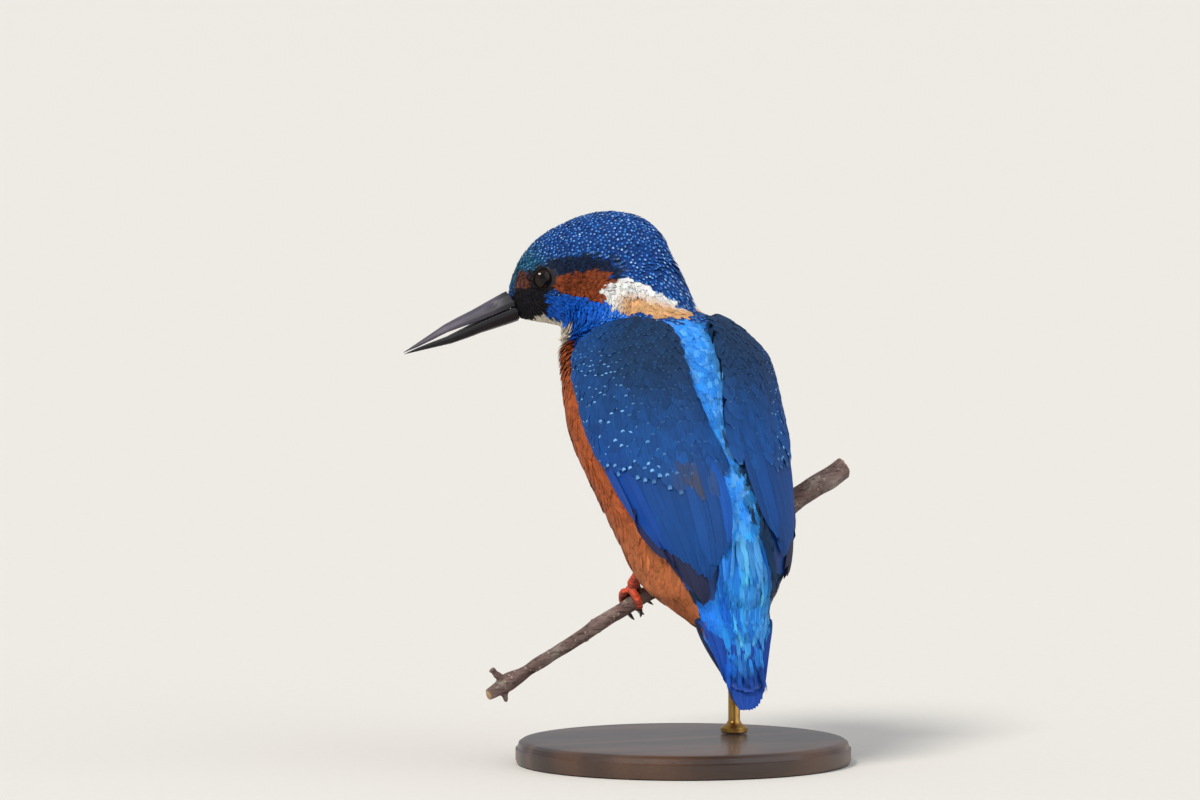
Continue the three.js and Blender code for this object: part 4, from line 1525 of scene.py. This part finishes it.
def flight(side):
    """Primaries, secondaries, tertials and greater coverts of one wing."""
    wing = wings[side]
    ends = ((0.56, 0.93), (0.6, 0.5)), ((0.86, 0.97), (1.0, 0.5))
    primaries = wing_row("primaries_" + side, wing, PRIMARIES, *ends, 4.2, (-1.0, -0.9), 0, dusk=0.86)
    ends = ((0.4, 0.97), (0.5, 0.2)), ((0.76, 0.96), (0.9, 0.28))
    secondaries = wing_row("secondaries_" + side, wing, SECONDARIES, *ends, 4.6, (-0.7, -0.4), 0)
    ends = ((0.44, 0.34), (0.38, 0.12)), ((0.88, 0.34), (0.78, 0.1))
    wide = np.array([5.4, 5.4, 5.4, 5.2, 2.6])
    tertials = wing_row("tertials_" + side, wing, TERTIALS, *ends, wide, (-0.1, 0.15), 0, ragged=0.012)
    ends = ((0.3, 0.97), (0.36, 0.1)), ((0.52, 0.95), (0.62, 0.14))
    ragged = {"ragged": 0.018}
    greater = wing_row("greater_coverts_" + side, wing, GREATER, *ends, 4.4, (-0.15, 0.0), 0.6, **ragged)
    return [primaries, secondaries, tertials, greater]


print("long feathers to a wing:", PRIMARIES + SECONDARIES + TERTIALS)

# %% [markdown]
# ## Small coverts
# They are laid from the bottom up, so that each lies over the one below it, as slates do on a roof.

# %% Small coverts and the two wings
COVERT_TUNE = 0.1


def downwards(points, normals):
    """The heading of feathers that run straight down the body."""
    return flat_on(down_body(points), normals)


def wing_coverts(side):
    """Lesser and median coverts, laid like the contour feathers but on the wing, and the scapulars."""
    wing = wings[side]
    candidates = wing.surface.scattered(12000)
    t, k = wing.share(candidates)
    out = (wing.surface.nearest(candidates)[1] * (candidates - wing.surface.points.mean(0))).sum(1) > 0
    candidates = candidates[out & (t < 0.44 - 0.05 * k) & (k > 0.02) & (k < 0.93)]
    chosen = spaced(candidates, lambda p: 1.05 + 0.55 * step(0.1, 0.4, wing.share(p)[0]))
    order = np.argsort(chosen[:, 2])
    chosen = chosen[order]
    t, k = wing.share(chosen)
    starts, normals = wing.surface.nearest(chosen)
    lengths = (4.2 + 5.0 * step(0.1, 0.42, t)) * random.uniform(0.9, 1.1, len(t))
    path, ups = middle_lines(starts, normals, lengths, wing.surface, downwards)
    t, k = wing.share(path[:, 2])
    colour, spotted, worn = wing_colours(path[:, 2], t, k)
    colour = colour * np.exp(random.normal(0, COVERT_TUNE, (len(t), 1)))
    tip = over(colour, WORN_BROWN, worn)
    spotted = spotted * random.random(len(t)) ** 0.25
    mark = np.hstack([plain_coat(WING_SPOT, len(t)), spotted[:, None]])
    flat = np.stack([k, t], 1)
    widths = 2.5 + 1.1 * step(0.1, 0.42, t)
    form = {"lift": (0.1, 0.5), "roll": 3, "flat": flat, "tip": tip}
    return feathers("coverts_" + side, covert, path, ups, widths, colour, mark, **form)


wing_pieces = []
for side in wings:
    wing_pieces += flight(side)
    wing_pieces.append(wing_coverts(side))
spot = {"spot_at": 0.86, "spot_size": (0.36, 0.085)}
feather_finish("wing_feathers", *wing_pieces, barbs=110.0, contrast=0.35, **spot)
for piece in wing_pieces:
    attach(piece, "root")

# %% [markdown]
# ## The tail
# The tail is short and has twelve rounded feathers. Seen from above, the middle pair lies on top. Long azure
# coverts reach over its upper side from the rump, and orange ones under it.

# %% The tail as a surface
TAIL_VOXEL, TAIL_LEVELS = 0.5, 14
TAIL_SLICE = 1.2  # how far above and below each height the tail is measured

guide = copy_of("guide", "tail")
modifier(guide, "REMESH", mode="VOXEL", voxel_size=TAIL_VOXEL * MM)
modifier(guide, "SMOOTH", factor=0.5, iterations=4)
tail_surface = Surface(guide)
bpy.data.objects.remove(guide)


def from_behind(x, z, surface, side=1):
    """The places on a surface that are first met from behind, at x and z, or from the front for side -1."""
    ahead = Vector((0, -side, 0))
    hits = [surface.tree.ray_cast(Vector((a, 90 * side, c)), ahead)[0] for a, c in zip(x, z)]
    aim = [(a, body_middle(c), c) if hit is None else hit for a, c, hit in zip(x, z, hits)]
    return surface.nearest(np.array(aim))


tail_levels = np.linspace(TAIL_END + 0.5, tail_surface.points[:, 2].max() - 0.5, TAIL_LEVELS)
tail_rows = [tail_surface.points[abs(tail_surface.points[:, 2] - z) < TAIL_SLICE, 0] for z in tail_levels]
tail_low_x = np.array([row.min() for row in tail_rows])
tail_high_x = np.array([row.max() for row in tail_rows])
print("tail: half width", ((tail_high_x - tail_low_x) / 2).round(1))

# %% [markdown]
# ## Tail feathers
# The twelve feathers fan out evenly, and the outer ones end a little higher, which rounds the tail. They are
# laid twice: blue above, dark below.

# %% Tail feathers
TAIL_TUNE = 0.1
TAIL_FEATHERS, FEATHER_WIDTH = 12, 4.8
END_HALF = 6.7  # the least half width of the tail, at its end


def tail_row(name, root_z, end_z, lift, tint, round_off, side=1):
    """Feathers of the tail. The middle pair lies on top, and the outer ones end higher, by round_off."""
    place = np.linspace(-1, 1, TAIL_FEATHERS)
    share = np.linspace(0, 1, WALK)
    z0, z1 = root_z + 0 * place, end_z + round_off * abs(place) ** 2.5
    z = z0[:, None] + (z1 - z0)[:, None] * share
    middle = np.interp(z, tail_levels, (tail_high_x + tail_low_x) / 2) + 1.2 * step(30, 17, z)
    half = np.interp(z, tail_levels, (tail_high_x - tail_low_x) / 2)
    half = np.maximum(half, END_HALF) - FEATHER_WIDTH / 2
    x = middle + place[:, None] * half
    path, ups = from_behind(x.ravel(), z.ravel(), tail_surface, side)
    path, ups = path.reshape(-1, WALK, 3), ups.reshape(-1, WALK, 3)
    ups = unit(ups + side * np.array([0, 1.5, 0.5]))
    stack = (1 - abs(place)) * 0.4
    colour = plain_coat(tint, TAIL_FEATHERS) * np.exp(random.normal(0, TAIL_TUNE, (TAIL_FEATHERS, 1)))
    mark = np.zeros((TAIL_FEATHERS, 4))
    widths = np.full(TAIL_FEATHERS, FEATHER_WIDTH)
    lifts = (lift[0] + stack, lift[1] + stack)
    flat = np.stack([place, z1], 1)
    return feathers(name, quill, path, ups, widths, colour, mark, lift=lifts, roll=2, flat=flat)


ends = TAIL_TOP + 3, TAIL_END + 0.9
above = tail_row("rectrices_above", *ends, (-1.0, -0.1), TAIL_BLUE, 2.4)
below = tail_row("rectrices_below", *ends, (-1.0, -0.2), TAIL_UNDER, 2.4, side=-1)

# %% [markdown]
# ## Long coverts
# Silky coverts, scattered like the contour coat but much longer, hide the roots of the tail. Over the rump
# a few are paler or deeper, which gives the azure its streaks.

# %% Long coverts
SILK_TUNE = 0.2


def silk(name, low, high, gap, lengths, widths, lift, side=1):
    """Long silky feathers over the rump and the roots of the tail, or under it for side -1."""
    candidates = outer_surface.scattered(16000)
    z = candidates[:, 2]
    aside = abs(candidates[:, 0] - mid_x) / np.interp(z, [low, high], [5.0, 7.0])
    behind = candidates[:, 1] > body_middle(z) if side > 0 else under_tail(candidates) > 0.9
    candidates = candidates[(z > low) & (z < high) & (aside < 1) & behind]
    chosen = spaced(candidates, lambda p: np.full(len(p), gap))
    chosen = chosen[np.argsort(chosen[:, 2])]
    starts, normals = outer_surface.nearest(chosen)
    long = random.uniform(*lengths, len(starts))
    path, ups = middle_lines(starts, normals, long, outer_surface, downwards)
    colour, mark = coloured(path[:, 2], SILK_TUNE)
    streak = random.random(len(starts))
    if side > 0:
        x, _, z = path[:, 2].T
        left = step(0.5, 5, x - mid_x) * step(52, 44, z)
        colour = over(colour, STREAK_BLUE, step(0.9, 0.5, streak + 0.55 * (1 - left)) * 0.8)
        colour = over(colour, BACK_PALE, step(0.8, 1.0, streak) * 0.5 * (1 - left) * step(26, 34, z))
    mark[:, 3] *= 0.5
    wide = random.uniform(*widths, len(starts))
    return feathers(name, plume, path, ups, wide, colour, mark, lift=lift, roll=6)


rump = silk("rump_silk", 33, 60, 0.85, (7, 12), (1.3, 2.1), (-0.8, 0.45))
vent = silk("vent_silk", 27, 37, 0.9, (5, 8), (1.5, 2.3), (-0.8, 0.4), side=-1)
tail = [above, below, rump, vent]
feather_finish("tail_feathers", *tail, gloss=0.45, barbs=120.0, contrast=0.35)
for piece in tail:
    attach(piece, "root")

# %% [markdown]
# ## The eyes
# The eye is dark brown with a black pupil, wet, and set in a thin ring of bare dark skin. The ball is a
# sphere whose front bulges a little, as a cornea does, and each of its corners is told how far it lies from
# the pupil's middle. The ring is a torus drawn out at the corners of the eye.

# %% Eyes
CORNEA, CORNEA_SPREAD = 0.2, 30  # how far the cornea bulges, and over how many degrees
LID = 0.2  # half the lid's thickness


def eye(side, centre, axis):
    """An eye with a bulging cornea, and its lids."""
    turn = Vector(axis).to_track_quat("Z", "Y").to_euler()
    deselect()
    settings = {"location": centre * MM, "rotation": turn}
    bpy.ops.mesh.primitive_uv_sphere_add(segments=64, ring_count=40, radius=EYE_RADIUS * MM, **settings)
    ball = bpy.context.object
    bpy.ops.object.transform_apply()
    points = places(ball)
    out = unit(points - centre)
    off = np.degrees(np.arccos(np.clip(out @ axis, -1, 1)))
    move_to(ball, points + out * (CORNEA * np.exp(-((off / CORNEA_SPREAD) ** 2)))[:, None])
    ball.name = "eyeball_" + side
    shade(ball, 80)
    colour_points(ball, "ring", np.repeat(np.clip(off / 90, 0, 1)[:, None], 3, axis=1))
    rim = centre + axis * (math.sqrt(EYE_RADIUS**2 - OPENING**2) + 0.1)
    settings = {"location": rim * MM, "rotation": turn, "major_segments": 72, "minor_segments": 12}
    bpy.ops.mesh.primitive_torus_add(major_radius=(OPENING + 0.05) * MM, minor_radius=LID * MM, **settings)
    lid = bpy.context.object
    bpy.ops.object.transform_apply()
    lid.name = "lid_" + side
    points, normals = places(lid), normals_of(lid)
    f = (points - rim) @ head_forward
    u = (points - rim) @ head_up
    around = np.arctan2(u, f)
    # The corners of the eye are drawn out a little, and small folds run over the rim.
    points = points + head_forward * (0.3 * np.cos(around) * abs(np.cos(around)) ** 3)[:, None]
    points = points + normals * (0.04 * np.sin(around * 30) * np.sin(points[:, 2] * 3))[:, None]
    points = points - axis * (0.15 * abs(np.cos(around)) ** 3)[:, None]
    move_to(lid, points)
    shade(lid, 80)
    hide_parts("eye_" + side)
    return ball, lid


balls, lids = zip(*(eye(side, *place) for side, place in zip(("left", "right"), EYES)))
finish = Finish("eye", roughness=0.05, specular_ior_level=0.24)
ring = finish.channel(finish.attribute("ring"), 0)
streaks = finish.noise(0.5)
colour = finish.mix(paint("1d0f08"), paint("070505"), ring.rise(0.34, 0.26))
colour = finish.mix(finish.times(colour, 0.7 + streaks * 0.6), paint("050404"), ring.rise(0.5, 0.62))
finish.done(*balls, colour=colour)
finish = Finish("lid", specular_ior_level=0.15)
fine = finish.noise(0.3)
colour = finish.times(paint("0c0a0b"), 0.6 + fine * 0.8)
finish.done(*lids, colour=colour, roughness=0.6 + fine * 0.2, normal=finish.bump(fine, 0.03))
for piece in (*balls, *lids):
    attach(piece, "root")
print("eyes:", len(balls), "balls of", round(2 * EYE_RADIUS, 1), "millimetres with their lids")

# %% [markdown]
# ## The bill
# The bill is a dagger of horn: black, with a painted grey sheen along its ridge, a slit of a nostril near its
# root, and sharp cutting edges that leave a thin line between its halves. Each half is its solid, wrapped in
# fine faces, with the nostrils and the grooves beside the ridge pressed in. The horn's grain runs lengthwise.

# %% Bill
BILL_VOXEL = 0.2
NOSTRIL_DEPTH, GROOVE_DEPTH = 0.45, 0.12


def bill_half(node):
    """One half of the bill: the solid wrapped in fine faces, with its ridge and nostrils worked in."""
    piece = copy_of("horn_" + node, node)
    modifier(piece, "REMESH", mode="VOXEL", voxel_size=BILL_VOXEL * MM)
    modifier(piece, "SMOOTH", factor=0.5, iterations=3)
    points, normals = places(piece), normals_of(piece)
    f, left, u = ((points - bill_root) @ head_axes).T
    if node == "bill_upper":
        slit = np.exp(-(((f - 4.2) / 1.5) ** 2) - ((abs(left) - 2.0) / 0.5) ** 2) * (u > 0)
        points = points - normals * (NOSTRIL_DEPTH * slit)[:, None]
        groove = np.exp(-(((abs(left) - 1.1) / 0.35) ** 2)) * step(2, 5, f) * step(24, 14, f) * (u > 0)
        points = points - normals * (GROOVE_DEPTH * groove)[:, None]
    move_to(piece, points)
    # The ridge has a painted sheen: it is drawn paler than the sides, and palest half way along.
    ridge = step(3.2, 0.6, abs(left)) * step(-1, 4, f) * step(30, 12, f) + 0.35 * step(0, 6, f)
    colour_points(piece, "ridge", np.repeat(np.clip(ridge, 0, 1)[:, None], 3, axis=1))
    shade(piece, 60)
    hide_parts(node)
    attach(piece, "root")
    return piece


halves = [bill_half("bill_upper"), bill_half("bill_lower")]
UPPER_SHEEN, LOWER_BLACK = paint("4b4652"), paint("17151a")

for half, horn in zip(halves, (UPPER_SHEEN, LOWER_BLACK)):
    finish = Finish("bill_horn_" + half.name[-5:], specular_ior_level=0.4)
    length_wise = finish.noise(1.0, at=finish.where(scale=(0.25, 1, 1), turn=(0, math.radians(-22), 0)))
    cloud = finish.noise(7.0)
    # Painted sheen: the ridge of the upper half is drawn grey over the black horn.
    ridge = finish.channel(finish.attribute("ridge"), 0)
    colour = finish.mix(LOWER_BLACK, horn, (ridge * (0.6 + cloud * 0.8)).clamp())
    colour = finish.times(colour, 0.7 + length_wise * 0.6)
    normal = finish.bump(length_wise, 0.05)
    finish.done(half, colour=colour, roughness=0.36 + length_wise * 0.25, normal=normal)
    print(half.name, len(half.data.vertices), "corners")

# %% [markdown]
# ## The claws
# Each toe ends in a thin curved claw of dark horn, paler where it is worn. The solids have the right curve
# and place, so they are only wrapped in finer faces and smoothed until no flat facet is left.

# %% Claws
CLAW_VOXEL = 0.1

claws = []
for node in [name for name in frame["nodes"] if name.startswith("claw_")]:
    piece = copy_of("horn_" + node, node)
    modifier(piece, "REMESH", mode="VOXEL", voxel_size=CLAW_VOXEL * MM)
    modifier(piece, "SMOOTH", factor=0.5, iterations=3)
    shade(piece, 70)
    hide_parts(node)
    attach(piece, "root")
    claws.append(piece)
finish = Finish("claw_horn", specular_ior_level=0.5, coat_weight=0.2, coat_roughness=0.2)
grain = finish.noise(0.3)
colour = finish.mix(paint("1c1715"), paint("54443c"), grain)
finish.done(*claws, colour=colour, roughness=0.3 + grain * 0.15)
print("claws:", len(claws))

# %% [markdown]
# ## The perch
# The perch is a bare shoot with smooth reddish brown bark, swollen where buds and side twigs sit. Its solid
# is wrapped in fine faces and worked over with lengthwise wrinkles and small warts, and its cut ends show
# pale wood. The relief is also given to the corners as a value, so that painted shade can darken the hollows.

# %% The perch's form
BARK_VOXEL = 0.42
CUT_REACH = 0.9  # how near to an end a face can be cut wood

perch = copy_of("perch_bark", "perch")
modifier(perch, "REMESH", mode="VOXEL", voxel_size=BARK_VOXEL * MM)
modifier(perch, "SMOOTH", factor=0.5, iterations=8)
points, normals = places(perch), normals_of(perch)
perch_ends = points[[points[:, 0].argmin(), points[:, 0].argmax()]]
perch_line = unit(perch_ends[1] - perch_ends[0])
along = (points - perch_ends[0]) @ perch_line
squeezed = points - np.outer(along * 0.8, perch_line)
relief = 0.3 * lumps(squeezed, 1.2, 3) + 0.35 * lumps(points, 6, 9)
warts = 0.2 * step(0.45, 0.7, lumps(points, 1.1, 17))
move_to(perch, points + normals * (relief + warts)[:, None])
cut = (along < CUT_REACH) | (along > along.max() - CUT_REACH)
cut_wood = cut * step(0.45, 0.8, abs(normals @ perch_line))
height = np.stack([0.5 + relief + warts, cut_wood, 0 * relief], 1)
colour_points(perch, "height", height)
shade(perch, 80)
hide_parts("perch")
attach(perch, "root")
print("perch:", len(points), "corners")

# %% [markdown]
# ## Bark
# Bark isn't one brown. Long cracks and a fine grain run with the shoot, paler lenticels dot it crosswise, a
# little grey lichen has settled on it, and the sun has bleached some of it. Patterns that run with the shoot
# are stretched along it by a Mapping node that is turned to the shoot's lean.

# %% Bark
BARK_DEPTH = 0.2

finish = Finish("bark", specular_ior_level=0.35)
lean = (0, math.atan2(-perch_line[2], perch_line[0]), 0)
grain = finish.noise(0.9, detail=5.0, at=finish.where(scale=(0.22, 1, 1), turn=lean))
cloud = finish.noise(9.0)
height = finish.channel(finish.attribute("height"), 0)
cut_face = finish.channel(finish.attribute("height"), 1)
lichen = finish.noise(3.0, detail=6.0).rise(0.58, 0.68)
cracks = finish.noise(0.5, detail=4.0, at=finish.where(scale=(0.12, 1, 1), turn=lean)).rise(0.46, 0.34)
crosswise = finish.where(scale=(1.6, 1, 1), turn=lean)
pores = finish.node("TexVoronoi", inputs={"Vector": crosswise, "Scale": 0.45}).rise(0.24, 0.14)
colour = finish.mix(paint("4a3733"), paint("7d6660"), grain)
colour = finish.mix(colour, paint("93827b"), cloud.rise(0.45, 0.7) * 0.6)
colour = finish.mix(colour, paint("8f8f7e"), lichen * 0.45)
colour = finish.mix(colour, paint("2a1f1d"), cracks * 0.6)
colour = finish.mix(colour, paint("b8a496"), pores * 0.55)
rings = (finish.noise(0.5, detail=1.0) * 8).sine() * 0.12 + 0.88
# Painted shade and light: the bark is drawn darker in the hollows of its relief and lighter on its ridges.
colour = finish.times(colour, 0.55 + height * 0.9)
colour = finish.mix(colour, finish.times(paint("b99a72"), rings), cut_face)
normal = finish.bump(grain - cracks * 0.8 + pores * 0.5, BARK_DEPTH)
finish.done(perch, colour=colour, roughness=0.55 + grain * 0.25, normal=normal)
print("bark:", len(finish.tree.nodes), "nodes")

# %% [markdown]
# ## The stand
# The model stands on a turned wooden disc with a brass rod. Both are made as on a lathe: a circle is drawn
# up through a profile of radius and height, one extrusion at a time.

# %% Turning a form


def turned(name, profile, axis_x, axis_y, sides=128):
    """A turned form: a circle drawn out through a profile of radius and height, and closed."""
    deselect()
    radius, z = profile[0]
    start = {"radius": radius * MM, "location": (axis_x * MM, axis_y * MM, z * MM)}
    bpy.ops.mesh.primitive_circle_add(vertices=sides, fill_type="NGON", **start)
    piece = bpy.context.object
    piece.name = name
    bpy.ops.object.transform_apply()
    bpy.ops.object.mode_set(mode="EDIT")
    for (before, low), (after, high) in zip(profile, profile[1:]):
        bpy.ops.mesh.extrude_region_move(TRANSFORM_OT_translate={"value": (0, 0, (high - low) * MM)})
        grow = after / before
        bpy.ops.transform.resize(value=(grow, grow, 1), center_override=(axis_x * MM, axis_y * MM, high * MM))
    bpy.ops.mesh.select_all(action="SELECT")
    bpy.ops.mesh.normals_make_consistent(inside=False)
    bpy.ops.object.mode_set(mode="OBJECT")
    shade(piece, 35)
    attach(piece, "root")
    print(name, "turned from", len(profile), "points")
    return piece

# %% [markdown]
# ## The wooden disc
# Its edge has a bead between two small steps. The wood is dark and lightly varnished, with grain drawn out
# along one direction.

# %% The wooden disc
low, high = (np.array(c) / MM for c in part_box("stand_base"))
radius, top = (high[0] - low[0]) / 2, high[2]
middle = (low + high) / 2
foot = [(radius - 1.2, 0), (radius - 0.3, 0.3), (radius, 1.2), (radius, top - 2.2)]
bead = [(radius - 0.5, top - 1.9), (radius - 0.6, top - 1.5), (radius - 0.8, top - 0.7)]
shoulder = [(radius - 1.6, top - 0.15), (radius - 2.8, top)]
face = [(radius * k, top) for k in (0.75, 0.5, 0.25, 0.02)]
disc_profile = foot + bead + shoulder + face
disc = turned("stand_disc", disc_profile, middle[0], middle[1])
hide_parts("stand_base")
finish = Finish("base_wood", coat_weight=0.3, coat_roughness=0.15)
grain_at = finish.where(scale=(0.07, 1, 0.4))
warp = finish.noise(14.0, detail=2.0, at=grain_at)
rings = ((finish.noise(30.0, detail=1.0, at=grain_at) * 22 + warp * 6).sine() * 0.5 + 0.5) ** 1.5
pores = finish.noise(0.5, detail=2.0, at=finish.where(scale=(0.05, 1, 1)))
colour = finish.mix(paint("2b1a12"), paint("4c3222"), rings)
colour = finish.times(colour, 0.7 + pores * 0.6)
finish.done(disc, colour=colour, roughness=0.38 + pores * 0.2, normal=finish.bump(pores, 0.05))
print("disc:", round(2 * radius), "millimetres wide")

# %% [markdown]
# ## The brass rod
# A collar seats it on the disc. The brass is cloudy, with fine marks where it was drawn.

# %% The brass rod
ROD_HALF = 1.5

low, high = (np.array(c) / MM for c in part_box("stand_rod"))
middle = (low + high) / 2
collar, foot, end = (high[0] - low[0]) / 2, low[2], high[2]
ring = [(collar - 0.3, foot), (collar, foot + 0.3), (collar, foot + 1.3), (collar - 0.4, foot + 1.8)]
shank = [(2.0, foot + 2.3), (ROD_HALF, foot + 3.2), (ROD_HALF, end - 1.0), (ROD_HALF - 0.3, end - 0.1)]
rod = turned("stand_post", ring + shank, middle[0], middle[1], sides=64)
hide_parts("stand_rod")
finish = Finish("rod_brass", metallic=1.0)
drawn = finish.noise(0.4, at=finish.where(scale=(1, 1, 0.03)))
cloud = finish.noise(5.0)
colour = finish.mix(paint("b08a4a"), paint("8a6432"), cloud.rise(0.4, 0.7))
finish.done(rod, colour=colour, roughness=0.22 + drawn * 0.18, normal=finish.bump(drawn, 0.01))
print("rod: up to", round(end), "millimetres")

# %% [markdown]
# ## The floor
# The model stands on a plain pale floor that reaches far behind it, so that no edge of it shows.

# %% Floor
FLOOR_HALF = 20

deselect()
bpy.ops.mesh.primitive_plane_add(size=2 * FLOOR_HALF, location=(0, 0, 0))
floor = bpy.context.object
floor.name = "floor"
bpy.ops.object.transform_apply()
finish = Finish("studio_floor")
speck = finish.noise(2.5, detail=2.0)
finish.done(floor, colour=finish.times(paint("d9d6cf"), 0.97 + speck * 0.06), roughness=0.75 + speck * 0.1)
floor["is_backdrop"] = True
print("floor:", 2 * FLOOR_HALF, "metres wide")

# %% [markdown]
# ## The light
# A broad soft key light, a weaker cool fill and an even sky light the model, like a studio by day. The key
# is a little warm, which keeps the blues from going flat.

# %% Light
SKY = (0.93, 0.95, 1.0, 1)
SKY_STRENGTH = 0.55


def towards(heading_degrees, rise_degrees):
    """The direction of a compass heading and a height, both in degrees."""
    turn, rise = math.radians(heading_degrees), math.radians(rise_degrees)
    level = math.cos(rise)
    return Vector((math.sin(turn) * level, math.cos(turn) * level, math.sin(rise)))


def sun(name, energy, heading_degrees, rise_degrees, spread, colour):
    """A sun whose light comes from a compass heading and height in degrees."""
    light = bpy.data.lights.new(name, "SUN")
    light.energy = energy
    light.angle = math.radians(spread)
    light.color = colour
    made = bpy.data.objects.new(name, light)
    made.rotation_euler = towards(heading_degrees, rise_degrees).to_track_quat("Z", "Y").to_euler()
    bpy.context.scene.collection.objects.link(made)
    print(f"{name} light from {heading_degrees} degrees, {rise_degrees} above level")


sun("key", 2.6, 60, 48, 18, (1.0, 0.97, 0.92))
sun("fill", 0.9, -40, 30, 60, (0.92, 0.96, 1.0))
world = bpy.data.worlds.new("sky")
world.use_nodes = True
world.node_tree.nodes["Background"].inputs["Color"].default_value = SKY
world.node_tree.nodes["Background"].inputs["Strength"].default_value = SKY_STRENGTH
bpy.context.scene.world = world
bpy.context.scene.view_settings.view_transform = "Standard"

# %% [markdown]
# ## The camera
# The camera stands low behind the bird's left shoulder, with a long lens, and looks at it as a watcher at the
# water's edge would. A long lens from far away keeps the bird's proportions true, where a short one from near
# by would swell what is closest to it.

# %% Camera
AIM = Vector((16.88, -13.13, 90.68)) * MM
CAMERA_HEADING, CAMERA_RISE = 25, 4
AWAY = 2.4  # metres from the aim
LENS, SENSOR = 288, 36  # the lens's length and the sensor's width, in millimetres

towards_camera = towards(CAMERA_HEADING, CAMERA_RISE)
lens = bpy.data.cameras.new("camera")
lens.lens = LENS
lens.sensor_width = SENSOR
lens.clip_end = 100
camera = bpy.data.objects.new("camera", lens)
camera.location = AIM + towards_camera * AWAY
camera.rotation_euler = towards_camera.to_track_quat("Z", "Y").to_euler()
bpy.context.scene.collection.objects.link(camera)
bpy.context.scene.camera = camera
print("camera:", [round(c, 3) for c in camera.location])

# %% [markdown]
# ## Size and finish
# Feathers may stand a little proud of the solids, but the bird must stay life size. The last line prints
# the size of the box round every piece of the finished model.

# %% Size and finish
low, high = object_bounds()
print("size:", [round((h - l) / MM, 1) for l, h in zip(low, high)], "millimetres")
